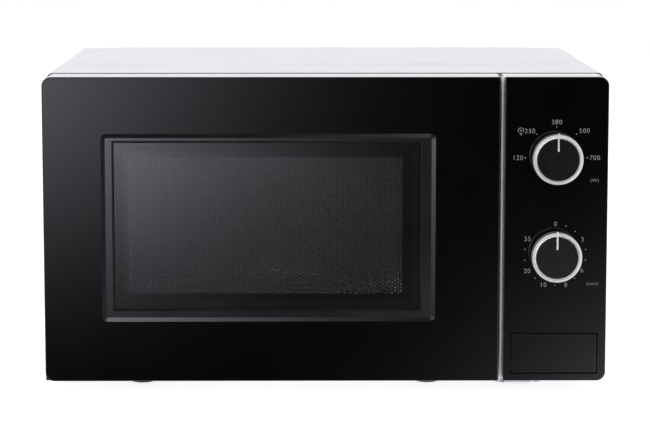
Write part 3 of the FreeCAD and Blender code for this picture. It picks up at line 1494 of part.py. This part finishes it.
def glass_turntable():
    """The glass plate: a flat disc with a raised rim and three lugs under its middle."""
    thick = dim("glass_thickness")
    edge = dim("glass_radius")
    profile = [
        (0.0, 0.0),
        (edge - 17, 0.0),
        (edge - 12, 0.9),
        (edge - 7, 3.4),
        (edge - 1.2, 9.2),
        (edge, 10.6),
        (edge - 0.6, 11.6),
        (edge - 2.4, 11.8),
        (edge - 9, thick + 2.6),
        (edge - 13.5, thick + 0.5),
        (edge - 18, thick),
        (0.0, thick),
    ]
    plate = turned("glass_plate", "z", profile, turn_x, turn_y, glass_under)
    lugs = []
    for n in range(3):
        angle = 30.0 + 120.0 * n
        spot = Rotation(Z, angle).multVec(Vector(16.5, 0, 0))
        lugs.append(
            rod(
                "glass_lug_%d" % n,
                "z",
                3.2,
                (glass_under - 5, glass_under + 0.5),
                (turn_x + spot.x, turn_y + spot.y),
            )
        )
    return sub_part(fuse("glass", plate, *lugs), "glass_turntable")


# ---------------------------------------------------------------------------------------------
# Build, check and export
# ---------------------------------------------------------------------------------------------
def build():
    cabinet_wrap()
    base_plate()
    rear_plate()
    round_feet()
    cord_gland()
    cabinet_screws()
    front_plate()
    oven_cavity()
    waveguide_cover()
    hinge_brackets()
    hinge_bushes()
    door_fascia()
    window_surround()
    door_frame()
    door_pane()
    window_gasket()
    door_screen()
    choke_frame()
    choke_cover()
    inner_window()
    latch_hooks()
    latch_spring()
    control_fascia()
    control_panel_frame()
    door_open_button()
    button_spring()
    knob("power", power_z)
    knob("timer", timer_z)
    clockwork("timer", "timer_unit", timer_z, 28, 30, TIMER_BACK)
    clockwork("selector", "power_selector", power_z, 24, 24, SELECTOR_BACK)
    timer_bell()
    latch_board()
    interlock_switches()
    latch_lever()
    waveguide()
    magnetron()
    transformer_core()
    transformer_windings()
    hv_capacitor()
    capacitor_clamp()
    hv_diode()
    fan_shroud()
    fan_motor()
    fan_blade()
    air_duct()
    noise_filter_board()
    thermal_cutouts()
    lamp_holder()
    oven_lamp()
    turntable_motor()
    turntable_coupler()
    roller_ring()
    rollers()
    glass_turntable()


def check():
    """Stop on any failed object or unsound shape."""
    faults = []
    for item in doc.Objects:
        if "Invalid" in item.State or "Error" in item.State:
            faults.append("%s: %s" % (item.Name, item.State))
    for item in SUB_PARTS:
        shape = item.Shape
        if shape.isNull() or not shape.isValid() or not shape.Solids:
            faults.append("%s: unsound shape" % item.Label)
    if faults:
        raise RuntimeError("; ".join(faults))


def export():
    os.makedirs("parts", exist_ok=True)
    for item in SUB_PARTS:
        item.Shape.exportStep(os.path.join("parts", item.Label + ".step"))


build()
doc.recompute()
check()
export()
for item in SUB_PARTS:
    print("%-22s %2d solids %10.0f mm3" % (item.Label, len(item.Shape.Solids), item.Shape.Volume))
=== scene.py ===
import math

import bmesh
import bpy
from mathutils import Matrix, Vector


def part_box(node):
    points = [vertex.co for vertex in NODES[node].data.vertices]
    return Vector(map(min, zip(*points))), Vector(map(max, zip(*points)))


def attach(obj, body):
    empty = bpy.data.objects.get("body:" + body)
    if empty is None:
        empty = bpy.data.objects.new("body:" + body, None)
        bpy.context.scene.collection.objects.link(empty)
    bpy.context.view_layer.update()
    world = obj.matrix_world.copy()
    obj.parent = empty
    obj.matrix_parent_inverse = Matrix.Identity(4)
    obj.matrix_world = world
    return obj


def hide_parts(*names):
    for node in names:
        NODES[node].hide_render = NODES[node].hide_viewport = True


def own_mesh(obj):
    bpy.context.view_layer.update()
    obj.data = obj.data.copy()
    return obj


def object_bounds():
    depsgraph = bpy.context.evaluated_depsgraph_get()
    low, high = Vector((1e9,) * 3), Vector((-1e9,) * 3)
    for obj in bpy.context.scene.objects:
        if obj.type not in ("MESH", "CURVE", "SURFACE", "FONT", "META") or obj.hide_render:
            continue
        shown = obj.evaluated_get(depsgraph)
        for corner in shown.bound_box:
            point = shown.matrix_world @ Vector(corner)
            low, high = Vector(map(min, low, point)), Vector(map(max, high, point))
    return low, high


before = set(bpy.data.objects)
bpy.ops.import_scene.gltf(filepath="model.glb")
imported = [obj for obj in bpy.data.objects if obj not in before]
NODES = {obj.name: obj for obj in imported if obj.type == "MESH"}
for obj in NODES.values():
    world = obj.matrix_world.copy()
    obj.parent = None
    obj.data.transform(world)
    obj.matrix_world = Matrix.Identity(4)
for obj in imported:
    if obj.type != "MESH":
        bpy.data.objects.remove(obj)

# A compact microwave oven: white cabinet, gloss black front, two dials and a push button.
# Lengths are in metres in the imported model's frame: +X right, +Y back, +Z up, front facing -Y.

MM = 0.001
CAD_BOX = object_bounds()


# ---------------------------------------------------------------------------------------------
# Camera, light and floor
# ---------------------------------------------------------------------------------------------
CAMERA_PLACE = (-14.5 * MM, -2062.9 * MM, 395.0 * MM)
CAMERA_DOWN = math.radians(7.454)
CAMERA_RIGHT = math.radians(0.424)
LENS = 136.1
SENSOR = 36.0

# strengths of the white studio: as seen by the camera, as it lights matt surfaces, and as gloss mirrors it
BACKDROP = 1.0
FILL = 0.68
ROOM_GLOSS = 0.95
GLOSS_TINT = (0.94, 0.96, 1.07, 1.0)
WHITE = (1.0, 1.0, 1.0, 1.0)

# what gloss mirrors from in front: a dark part round an axis, and two soft lights in it, each with
# the X and Z of its direction, its spread along both and its peak
DARK_AXIS = (0.0, -0.99, -0.12)
DARK_REACH = 0.26
ROOM_REACH = 0.75
UPPER_LEFT_GLOW = ((-0.178, -0.056), (0.113, 0.074), 3.12)
LOWER_RIGHT_GLOW = ((0.276, -0.288), (0.124, 0.089), 12.0)

CAVITY_LIGHT_DROP = 12 * MM
CAVITY_LIGHT_SIZE = 0.16
CAVITY_LIGHT_POWER = 1.8

FLOOR_REACH = 4.0


def add_camera():
    data = bpy.data.cameras.new("camera")
    data.lens = LENS
    data.sensor_width = SENSOR
    camera = bpy.data.objects.new("camera", data)
    camera.location = CAMERA_PLACE
    camera.rotation_euler = (math.pi / 2 - CAMERA_DOWN, 0, -CAMERA_RIGHT)
    bpy.context.scene.collection.objects.link(camera)
    bpy.context.scene.camera = camera


class Nodes:
    """A node tree, filled by giving each node's inputs a value or another node's output."""

    def __init__(self, tree):
        self.tree = tree
        tree.nodes.clear()

    def add(self, kind, inputs=None, **settings):
        node = self.tree.nodes.new(kind)
        for key, value in settings.items():
            setattr(node, key, value)
        for key, value in (inputs or {}).items():
            if isinstance(value, bpy.types.NodeSocket):
                self.tree.links.new(value, node.inputs[key])
            else:
                node.inputs[key].default_value = value
        return node

    def math(self, operation, first, second=0.0):
        return self.add("ShaderNodeMath", {0: first, 1: second}, operation=operation).outputs[0]

    def vector_math(self, operation, first, second):
        return self.add("ShaderNodeVectorMath", {0: first, 1: second}, operation=operation)

    def ranged(self, value, start, end, low, high, curve="LINEAR"):
        inputs = {"Value": value, "From Min": start, "From Max": end, "To Min": low, "To Max": high}
        return self.add("ShaderNodeMapRange", inputs, interpolation_type=curve).outputs["Result"]


def soft_glow(nodes, direction, centre, spread, peak):
    """The brightness of one soft light as seen in a direction: a bell curve about its centre."""
    away = nodes.vector_math("SUBTRACT", direction, (centre[0], 0, centre[1])).outputs[0]
    scaled = nodes.vector_math("MULTIPLY", away, (1 / spread[0], 0, 1 / spread[1])).outputs[0]
    square = nodes.vector_math("DOT_PRODUCT", scaled, scaled).outputs["Value"]
    return nodes.math("MULTIPLY", nodes.math("EXPONENT", nodes.math("MULTIPLY", square, -1.0)), peak)


def add_world():
    """A white studio. What glossy surfaces mirror from in front is a dark room with two soft lights."""
    world = bpy.data.worlds.new("studio")
    world.use_nodes = True
    bpy.context.scene.world = world
    nodes = Nodes(world.node_tree)
    direction = nodes.add("ShaderNodeTexCoord").outputs["Generated"]
    upper_left = soft_glow(nodes, direction, *UPPER_LEFT_GLOW)
    lower_right = soft_glow(nodes, direction, *LOWER_RIGHT_GLOW)
    lights = nodes.math("ADD", upper_left, lower_right)
    aside = nodes.vector_math("DISTANCE", direction, DARK_AXIS).outputs["Value"]
    room = nodes.ranged(aside, DARK_REACH, ROOM_REACH, 0.0, 1.0, "SMOOTHSTEP")
    dark_part = nodes.math("MULTIPLY", lights, nodes.math("SUBTRACT", 1.0, room))
    mirrored = nodes.math("ADD", dark_part, nodes.math("MULTIPLY", room, ROOM_GLOSS))
    gloss = nodes.add("ShaderNodeBackground", {"Color": GLOSS_TINT, "Strength": mirrored})
    fill = nodes.add("ShaderNodeBackground", {"Color": WHITE, "Strength": FILL})
    backdrop = nodes.add("ShaderNodeBackground", {"Color": WHITE, "Strength": BACKDROP})
    rays = nodes.add("ShaderNodeLightPath").outputs
    shares = {0: rays["Is Glossy Ray"], 1: fill.outputs[0], 2: gloss.outputs[0]}
    lit = nodes.add("ShaderNodeMixShader", shares)
    shares = {0: rays["Is Camera Ray"], 1: lit.outputs[0], 2: backdrop.outputs[0]}
    seen = nodes.add("ShaderNodeMixShader", shares)
    nodes.add("ShaderNodeOutputWorld", {"Surface": seen.outputs[0]})


def soft_light(name, place, aim, size, power):
    """A square light that gloss doesn't mirror."""
    data = bpy.data.lights.new(name, "AREA")
    data.size = size
    data.energy = power
    light = bpy.data.objects.new(name, data)
    light.location = place
    light.rotation_mode = "QUATERNION"
    light.rotation_quaternion = (Vector(aim) - Vector(place)).to_track_quat("-Z", "Y")
    light.visible_glossy = False
    bpy.context.scene.collection.objects.link(light)


def add_lights():
    centre = (CAD_BOX[0] + CAD_BOX[1]) / 2
    soft_light("key_light", (-1.4, -1.6, 2.6), centre, 1.6, 30)
    soft_light("rim_light", (1.8, 1.6, 1.8), centre, 1.2, 12)
    low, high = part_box("oven_cavity")
    roof = Vector(((low.x + high.x) / 2, (low.y + high.y) / 2, high.z - CAVITY_LIGHT_DROP))
    below = roof - Vector((0, 0, 1))
    soft_light("cavity_glow", roof, below, CAVITY_LIGHT_SIZE, CAVITY_LIGHT_POWER)


def add_floor():
    far = FLOOR_REACH
    mesh = bpy.data.meshes.new("floor")
    corners = [(-far, -far, 0), (far, -far, 0), (far, far, 0), (-far, far, 0)]
    mesh.from_pydata(corners, [], [(0, 1, 2, 3)])
    floor = bpy.data.objects.new("floor", mesh)
    bpy.context.scene.collection.objects.link(floor)
    glow = {"Emission Color": WHITE, "Emission Strength": 0.75}
    paper = Finish("floor_paper", {"Roughness": 0.9, **glow})
    paper.tint(paper.noise(90 * MM), (0.49, 0.49, 0.49), (0.51, 0.51, 0.51))
    floor.data.materials.append(paper.material)
    floor.visible_glossy = False


# ---------------------------------------------------------------------------------------------
# Finishes
# ---------------------------------------------------------------------------------------------
class Finish(Nodes):
    """A material: one Principled shader, with its detail worked out from the surface's own place."""

    def __init__(self, name, sockets):
        self.material = bpy.data.materials.new(name)
        self.material.use_nodes = True
        super().__init__(self.material.node_tree)
        self.shader = self.add("ShaderNodeBsdfPrincipled", sockets)
        self.add("ShaderNodeOutputMaterial", {"Surface": self.shader.outputs[0]})
        self.place = self.add("ShaderNodeTexCoord").outputs["Object"]

    def stretched(self, x, y, z):
        """The surface's place, with each axis scaled, which draws a pattern out along the small ones."""
        return self.vector_math("MULTIPLY", self.place, (x, y, z)).outputs[0]

    def noise(self, size, detail=2.0, place=None):
        inputs = {"Vector": place or self.place, "Scale": 1 / size, "Detail": detail}
        return self.add("ShaderNodeTexNoise", inputs).outputs["Fac"]

    def cells(self, size):
        """A different random level in each irregular patch of about this size."""
        patches = self.add("ShaderNodeTexVoronoi", {"Vector": self.place, "Scale": 1 / size})
        return self.add("ShaderNodeRGBToBW", {"Color": patches.outputs["Color"]}).outputs[0]

    def bands(self, axis, pitch):
        """Lines across an axis, one to each pitch."""
        along = self.add("ShaderNodeSeparateXYZ", {"Vector": self.place}).outputs[axis]
        return self.math("SINE", self.math("MULTIPLY", along, 2 * math.pi / pitch))

    def tint(self, level, dark, light, start=0.3, end=0.7):
        ramp = self.add("ShaderNodeValToRGB", {"Fac": level})
        for stop, place, colour in zip(ramp.color_ramp.elements, (start, end), (dark, light)):
            stop.position = place
            stop.color = (*colour, 1.0)
        self.tree.links.new(ramp.outputs["Color"], self.shader.inputs["Base Color"])

    def rough(self, level, low, high):
        result = self.ranged(level, 0.25, 0.75, low, high)
        self.tree.links.new(result, self.shader.inputs["Roughness"])

    def relief(self, height, depth):
        """Adds fine relief of this depth on top of any that the shader already has."""
        inputs = {"Height": height, "Distance": depth}
        before = self.shader.inputs["Normal"].links
        if before:
            inputs["Normal"] = before[0].from_socket
        bump = self.add("ShaderNodeBump", inputs)
        self.tree.links.new(bump.outputs[0], self.shader.inputs["Normal"])


def painted(name, dark, light):
    """Powder coat on sheet steel: slight orange peel and a very slightly uneven gloss."""
    paint = Finish(name, {"IOR": 1.5})
    paint.tint(paint.noise(70 * MM), dark, light)
    paint.rough(paint.noise(9 * MM), 0.34, 0.44)
    paint.relief(paint.noise(1.4 * MM), 0.02 * MM)
    return paint.material


def white_paint():
    return painted("white_paint", (0.80, 0.80, 0.80), (0.83, 0.83, 0.83))


def grey_paint():
    """Enamel of the cavity, with its fine dark and light speckle."""
    enamel = Finish("grey_paint", {"IOR": 1.52})
    enamel.tint(enamel.noise(0.7 * MM, 1.0), (0.30, 0.31, 0.32), (0.46, 0.47, 0.48), 0.42, 0.58)
    enamel.rough(enamel.noise(6 * MM), 0.22, 0.34)
    enamel.relief(enamel.noise(1.8 * MM), 0.02 * MM)
    return enamel.material


def gloss_black(name, ior, low, high):
    """Black glass-like acrylic: almost no colour of its own, so that it mostly mirrors the room."""
    gloss = Finish(name, {"IOR": ior})
    gloss.tint(gloss.noise(40 * MM), (0.0010, 0.0010, 0.0011), (0.0016, 0.0016, 0.0017))
    gloss.rough(gloss.noise(25 * MM), low, high)
    return gloss.material


def tinted_glass():
    """The smoked pane of the door, through which the perforated screen just shows."""
    pane = Finish("tinted_glass", {"IOR": 2.5, "Alpha": 0.6})
    pane.tint(pane.noise(60 * MM), (0.0010, 0.0010, 0.0012), (0.0018, 0.0018, 0.0020))
    pane.rough(pane.noise(30 * MM), 0.02, 0.05)
    return pane.material


def clear_film():
    film = Finish("clear_film", {"IOR": 1.45, "Alpha": 0.14})
    film.tint(film.noise(35 * MM), (0.60, 0.61, 0.62), (0.72, 0.73, 0.74))
    film.rough(film.noise(12 * MM), 0.10, 0.22)
    film.relief(film.noise(16 * MM), 0.05 * MM)
    return film.material


def clear_glass():
    glass = Finish("clear_glass", {"IOR": 1.47, "Transmission Weight": 1.0})
    glass.tint(glass.noise(50 * MM), (0.93, 0.97, 0.96), (0.97, 0.99, 0.98))
    glass.rough(glass.noise(8 * MM), 0.0, 0.03)
    glass.relief(glass.noise(14 * MM), 0.02 * MM)
    return glass.material


def moulded(name, dark, light, low, high, grain):
    """Moulded plastic: a fine eroded grain and a slightly cloudy colour."""
    plastic = Finish(name, {"IOR": 1.5})
    plastic.tint(plastic.noise(30 * MM), dark, light)
    plastic.rough(plastic.noise(2.5 * MM), low, high)
    plastic.relief(plastic.noise(grain, 3.0), 0.006 * MM)
    return plastic.material


def metal(name, dark, light, low, high, lines=(1, 1, 1)):
    """Bare metal: broad changes of tone, and a fine grain that can be drawn out into lines."""
    steel = Finish(name, {"Metallic": 1.0})
    steel.tint(steel.noise(20 * MM), dark, light)
    grain = steel.noise(0.8 * MM, 3.0, steel.stretched(*lines))
    steel.rough(grain, low, high)
    steel.relief(grain, 0.005 * MM)
    return steel.material


def satin_trim():
    """Silver lacquer on plastic: pale, even and soft, with a fine metallic sparkle."""
    trim = Finish("silver_trim", {"Metallic": 0.8, "IOR": 1.5})
    flakes = trim.noise(0.25 * MM)
    trim.tint(flakes, (0.72, 0.69, 0.63), (0.80, 0.77, 0.71))
    trim.rough(flakes, 0.28, 0.38)
    trim.relief(flakes, 0.003 * MM)
    return trim.material


def zinc_steel():
    """Galvanised sheet with its patchwork of crystals."""
    zinc = Finish("zinc_steel", {"Metallic": 1.0})
    patches = zinc.cells(7 * MM)
    zinc.tint(patches, (0.50, 0.51, 0.53), (0.66, 0.67, 0.68), 0.1, 0.9)
    zinc.rough(patches, 0.28, 0.42)
    zinc.relief(zinc.noise(1.1 * MM), 0.01 * MM)
    return zinc.material


def mica():
    """A pressed sheet of mica flakes."""
    sheet = Finish("mica", {"IOR": 1.56})
    flakes = sheet.cells(2.2 * MM)
    sheet.tint(flakes, (0.28, 0.24, 0.17), (0.52, 0.47, 0.36), 0.1, 0.9)
    sheet.rough(flakes, 0.25, 0.55)
    sheet.relief(flakes, 0.03 * MM)
    return sheet.material


def laminations():
    """Stacked steel plates, whose edges show as fine lines under thin varnish."""
    core = Finish("laminations", {"Metallic": 0.8})
    edges = core.bands("Y", 1.0 * MM)
    core.tint(core.noise(12 * MM), (0.12, 0.11, 0.10), (0.24, 0.22, 0.20))
    core.rough(edges, 0.38, 0.60)
    core.relief(edges, 0.08 * MM)
    return core.material


def copper():
    """Enamelled copper wire, wound turn on turn."""
    winding = Finish("copper", {"Metallic": 0.9})
    turns = winding.bands("Z", 1.1 * MM)
    winding.tint(turns, (0.25, 0.075, 0.025), (0.62, 0.24, 0.10), 0.1, 0.9)
    winding.rough(winding.noise(3 * MM), 0.22, 0.40)
    winding.relief(turns, 0.30 * MM)
    return winding.material


def board():
    """Brown phenolic board."""
    sheet = Finish("board", {"IOR": 1.55})
    sheet.tint(sheet.noise(0.9 * MM, 3.0), (0.11, 0.055, 0.020), (0.22, 0.12, 0.050))
    sheet.rough(sheet.noise(4 * MM), 0.40, 0.60)
    sheet.relief(sheet.noise(0.5 * MM), 0.01 * MM)
    return sheet.material


def printing_ink():
    """Pale grey ink of the dial markings."""
    ink = Finish("printing_ink", {"IOR": 1.45})
    ink.tint(ink.noise(0.6 * MM), (0.26, 0.26, 0.26), (0.36, 0.36, 0.36))
    ink.rough(ink.noise(1 * MM), 0.45, 0.60)
    return ink.material


FINISHES = {
    "white_paint": white_paint(),
    "grey_paint": grey_paint(),
    "zinc_steel": zinc_steel(),
    "screen_steel": painted("screen_steel", (0.010, 0.010, 0.011), (0.016, 0.016, 0.017)),
    "gloss_black": gloss_black("gloss_black", 1.5, 0.02, 0.05),
    "window_band": gloss_black("window_band", 2.0, 0.11, 0.14),
    "white_plastic": moulded("white_plastic", (0.83, 0.83, 0.83), (0.87, 0.87, 0.87), 0.40, 0.50, 0.5 * MM),
    "tinted_glass": tinted_glass(),
    "clear_film": clear_film(),
    "clear_glass": clear_glass(),
    "black_plastic": moulded(
        "black_plastic", (0.010, 0.011, 0.011), (0.014, 0.014, 0.015), 0.38, 0.48, 0.35 * MM
    ),
    "silver_trim": satin_trim(),
    "knob_black": moulded("knob_black", (0.004, 0.004, 0.005), (0.006, 0.006, 0.007), 0.10, 0.15, 0.3 * MM),
    "rubber": moulded("rubber", (0.040, 0.040, 0.040), (0.060, 0.060, 0.060), 0.70, 0.85, 0.8 * MM),
    "bright_steel": metal("bright_steel", (0.60, 0.60, 0.61), (0.75, 0.75, 0.76), 0.18, 0.34),
    "mica": mica(),
    "grey_plastic": moulded("grey_plastic", (0.42, 0.42, 0.41), (0.50, 0.50, 0.49), 0.42, 0.56, 0.5 * MM),
    "laminations": laminations(),
    "copper": copper(),
    "aluminium": metal("aluminium", (0.68, 0.69, 0.70), (0.80, 0.81, 0.82), 0.28, 0.42, (1, 1, 8)),
    "board": board(),
}
OWN_FINISH = {"window_surround": "window_band", "power_knob": "knob_black", "timer_knob": "knob_black"}


def dress_nodes():
    """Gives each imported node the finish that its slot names, or one of its own."""
    for name, node in NODES.items():
        for slot in node.material_slots:
            slot.material = FINISHES[OWN_FINISH.get(name, slot.material.name)]


# ---------------------------------------------------------------------------------------------
# Pieces made here
# ---------------------------------------------------------------------------------------------
def add_piece(name, mesh_data, finish, body):
    """Turns mesh data into a piece that rides on a body."""
    mesh = bpy.data.meshes.new(name)
    mesh_data.to_mesh(mesh)
    mesh_data.free()
    mesh.materials.append(finish)
    piece = bpy.data.objects.new(name, mesh)
    bpy.context.scene.collection.objects.link(piece)
    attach(piece, body)
    return piece


SCREEN_X = (-154.5 * MM, 62.0 * MM)
SCREEN_Z = (83.8 * MM, 192.4 * MM)
HOLE_PITCH = 2.7 * MM
HOLE_RADIUS = 0.62 * MM
SIDES = 6
SNAP = 24


def hexagon(x, z, radius):
    """The corners of a hexagon with a corner at its right."""
    corners = []
    for side in range(SIDES):
        turn = 2 * math.pi * side / SIDES
        corners.append((x + radius * math.cos(turn), z + radius * math.sin(turn)))
    return corners


def door_screen():
    """The steel screen of the door: a field of small holes, six round each, in a plain sheet."""
    low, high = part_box("door_screen")
    data = bmesh.new()
    shared = {}

    def shared_corner(x, z):
        key = (round(x / HOLE_PITCH * SNAP), round(z / HOLE_PITCH * SNAP))
        if key not in shared:
            shared[key] = data.verts.new((x, low.y, z))
        return shared[key]

    column = HOLE_PITCH * math.sqrt(3) / 2
    columns = int((SCREEN_X[1] - SCREEN_X[0]) / column)
    rows = int((SCREEN_Z[1] - SCREEN_Z[0]) / HOLE_PITCH)
    for across in range(columns):
        x = SCREEN_X[0] + (across + 0.5) * column
        for up in range(rows):
            z = SCREEN_Z[0] + (up + 0.5 + (across % 2) / 2 - 0.25) * HOLE_PITCH
            outer = [shared_corner(*corner) for corner in hexagon(x, z, HOLE_PITCH / math.sqrt(3))]
            inner = [data.verts.new((a, low.y, b)) for a, b in hexagon(x, z, HOLE_RADIUS)]
            for side in range(SIDES):
                after = (side + 1) % SIDES
                data.faces.new((outer[side], outer[after], inner[after], inner[side]))
    meeting = set(shared.values())
    rim = [edge for edge in data.edges if edge.is_boundary and set(edge.verts) <= meeting]
    sheet_corners = [(low.x, low.z), (high.x, low.z), (high.x, high.z), (low.x, high.z)]
    corners = [data.verts.new((x, low.y, z)) for x, z in sheet_corners]
    border = [data.edges.new((corners[n - 1], corners[n])) for n in range(4)]
    bmesh.ops.triangle_fill(data, use_beauty=True, edges=rim + border)
    grown = bmesh.ops.extrude_face_region(data, geom=data.faces[:])
    moved = [item for item in grown["geom"] if isinstance(item, bmesh.types.BMVert)]
    bmesh.ops.translate(data, verts=moved, vec=(0, high.y - low.y, 0))
    bmesh.ops.recalc_face_normals(data, faces=data.faces[:])
    screen = add_piece("perforated_screen", data, FINISHES["screen_steel"], "door")
    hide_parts("door_screen")


WIRE_SIDES = 10
STEPS_PER_TURN = 28


def spring(name, node, body, along, wire, turns):
    """A compression spring in a node's place: closed end turns, with open turns evenly between."""
    low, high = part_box(node)
    centre = (low + high) / 2
    half = (high - low) / 2
    radius = half.x - wire
    length = 2 * half[along] - 2 * wire
    end_rise = 2 * wire
    open_rise = (length - 2 * end_rise) / (turns - 2)
    steps = turns * STEPS_PER_TURN
    data = bmesh.new()
    rings = []
    for step in range(steps + 1):
        turn = step / STEPS_PER_TURN
        rise = end_rise * min(turn, 1) + open_rise * min(max(turn - 1, 0), turns - 2)
        rise += end_rise * max(turn - turns + 1, 0)
        angle = 2 * math.pi * turn
        ring = []
        for side in range(WIRE_SIDES):
            lean = 2 * math.pi * side / WIRE_SIDES
            out = radius + wire * math.cos(lean)
            up = rise + wire * math.sin(lean) - length / 2
            point = Vector((out * math.cos(angle), out * math.sin(angle), up))
            if along == 1:
                point = Vector((point.x, point.z, point.y))
            ring.append(data.verts.new(centre + point))
        rings.append(ring)
    for ring, following in zip(rings, rings[1:]):
        for side in range(WIRE_SIDES):
            after = (side + 1) % WIRE_SIDES
            data.faces.new((ring[side], ring[after], following[after], following[side]))
    data.faces.new(rings[0])
    data.faces.new(rings[-1])
    bmesh.ops.recalc_face_normals(data, faces=data.faces[:])
    for face in data.faces:
        face.smooth = len(face.verts) == 4
    piece = add_piece(name, data, FINISHES["bright_steel"], body)
    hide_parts(node)
    return piece


def springs():
    """The two springs, squeezed by the travel of the button and of the latch."""
    button = spring("button_coil", "button_spring", "open_button", 1, 0.45 * MM, 11)
    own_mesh(button)
    latch = spring("latch_coil", "latch_spring", "door", 2, 0.4 * MM, 8)
    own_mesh(latch)


INK = 0.04 * MM
DIGIT_SIZE = 5.2 * MM
UNIT_SIZE = 3.9 * MM
THINNING = 0.07 * MM
MARK_RING = 24.1 * MM
DOT_RADIUS = 0.42 * MM
DOT_SIDES = 16
DASH_HALF = 0.3 * MM
DASH_LENGTH = 1.3 * MM
LETTER_SPACING = 1.12
SIDE_NUMBER_REACH = 24.4 * MM
LOW_NUMBER_REACH = 25.2 * MM
BADGE = (-27.7 * MM, 21.2 * MM)
BADGE_FOOT_Z = 18.6 * MM


class Print:
    """Raised ink on a dial panel, at places measured from a dial's centre."""

    def __init__(self, centre):
        self.data = bmesh.new()
        self.centre = centre

    def place(self, x, z):
        return self.centre + Vector((x, 0, z))

    def raise_ink(self, corners):
        """A thin flat shape with these corners."""
        face = self.data.faces.new([self.data.verts.new(self.place(x, z)) for x, z in corners])
        grown = bmesh.ops.extrude_face_region(self.data, geom=[face])
        moved = [item for item in grown["geom"] if isinstance(item, bmesh.types.BMVert)]
        bmesh.ops.translate(self.data, verts=moved, vec=(0, -INK, 0))

    def dot(self, angle, reach=MARK_RING, radius=DOT_RADIUS):
        x, z = reach * math.sin(angle), reach * math.cos(angle)
        turns = [2 * math.pi * n / DOT_SIDES for n in range(DOT_SIDES)]
        self.raise_ink([(x + radius * math.cos(turn), z + radius * math.sin(turn)) for turn in turns])

    def dash(self, x, z, length):
        half, thin = length / 2, DASH_HALF
        left, right, low, high = x - half, x + half, z - thin, z + thin
        self.raise_ink([(left, low), (right, low), (right, high), (left, high)])

    def loop(self, x, z, outer, inner, start=0.0, end=2 * math.pi, steps=24):
        """A thin ring, or part of one, as a run of short joined bars."""
        for n in range(steps):
            a, b = (start + (end - start) * (n + shift) / steps for shift in (0, 1))
            corners = [(outer, a), (outer, b), (inner, b), (inner, a)]
            self.raise_ink([(x + r * math.cos(turn), z + r * math.sin(turn)) for r, turn in corners])

    def word(self, text, x, z, size=DIGIT_SIZE):
        curve = bpy.data.curves.new("word", "FONT")
        curve.body = text
        curve.size = size
        curve.space_character = LETTER_SPACING
        curve.extrude = INK / 2
        curve.offset = -THINNING
        curve.align_x = "CENTER"
        curve.align_y = "CENTER"
        holder = bpy.data.objects.new("word", curve)
        bpy.context.scene.collection.objects.link(holder)
        graph = bpy.context.evaluated_depsgraph_get()
        mesh = bpy.data.meshes.new_from_object(holder.evaluated_get(graph))
        middle = sum((Vector(corner) for corner in holder.bound_box), Vector()) / 8
        upright = Matrix.Translation(self.place(x, z)) @ Matrix.Rotation(math.pi / 2, 4, "X")
        mesh.transform(upright @ Matrix.Translation(Vector((-middle.x, -middle.y, INK / 2))))
        self.data.from_mesh(mesh)
        bpy.data.objects.remove(holder)
        bpy.data.meshes.remove(mesh)
        bpy.data.curves.remove(curve)


def dial_centre(knob):
    """The point on the panel's face behind the middle of a knob."""
    low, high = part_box(knob)
    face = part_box("control_fascia")[0].y
    return Vector(((low.x + high.x) / 2, face, (low.z + high.z) / 2))


def power_print():
    """Power steps in watts round the upper dial."""
    dial = Print(dial_centre("power_knob"))
    for text, x, z in (("250", -20.7, 21.0), ("380", 0.1, 27.9), ("500", 21.7, 21.1), ("(W)", 30.0, -18.1)):
        dial.word(text, x * MM, z * MM, UNIT_SIZE if text == "(W)" else DIGIT_SIZE)
    for side, text, x in ((-1, "120", -29.5), (1, "700", 30.0)):
        dial.word(text, x * MM, 0)
        dial.dash(side * MARK_RING, 0, DASH_LENGTH)
    for step in (-40, 0, 40):
        dial.dot(math.radians(step))
    x, z = BADGE
    dial.loop(x, z, 2.3 * MM, 1.95 * MM, math.radians(-40), math.radians(220))
    dial.loop(x, BADGE_FOOT_Z, 0.9 * MM, 0.6 * MM)
    dial.dot(math.atan2(x, z), math.hypot(x, z), 0.6 * MM)
    add_piece("power_markings", dial.data, printing_ink(), "cabinet")


def timer_print():
    """Minutes round the lower dial, clockwise from nought."""
    dial = Print(dial_centre("timer_knob"))
    for minutes, degrees in ((0, 0), (3, 60), (6, 120), (8, 160), (10, 200), (20, 240), (35, 300)):
        angle = math.radians(degrees)
        reach = SIDE_NUMBER_REACH if minutes < 8 else LOW_NUMBER_REACH
        dial.word(str(minutes), reach * math.sin(angle), reach * math.cos(angle))
    for degrees in (20, 40, 80, 100, 140, 180, 220, 260, 280):
        dial.dot(math.radians(degrees))
    dial.word("(min)", 29.3 * MM, -23.1 * MM, UNIT_SIZE)
    add_piece("timer_markings", dial.data, printing_ink(), "cabinet")


bpy.context.scene.view_settings.view_transform = "Standard"
add_camera()
add_world()
add_lights()
add_floor()
dress_nodes()
door_screen()
springs()
power_print()
timer_print()
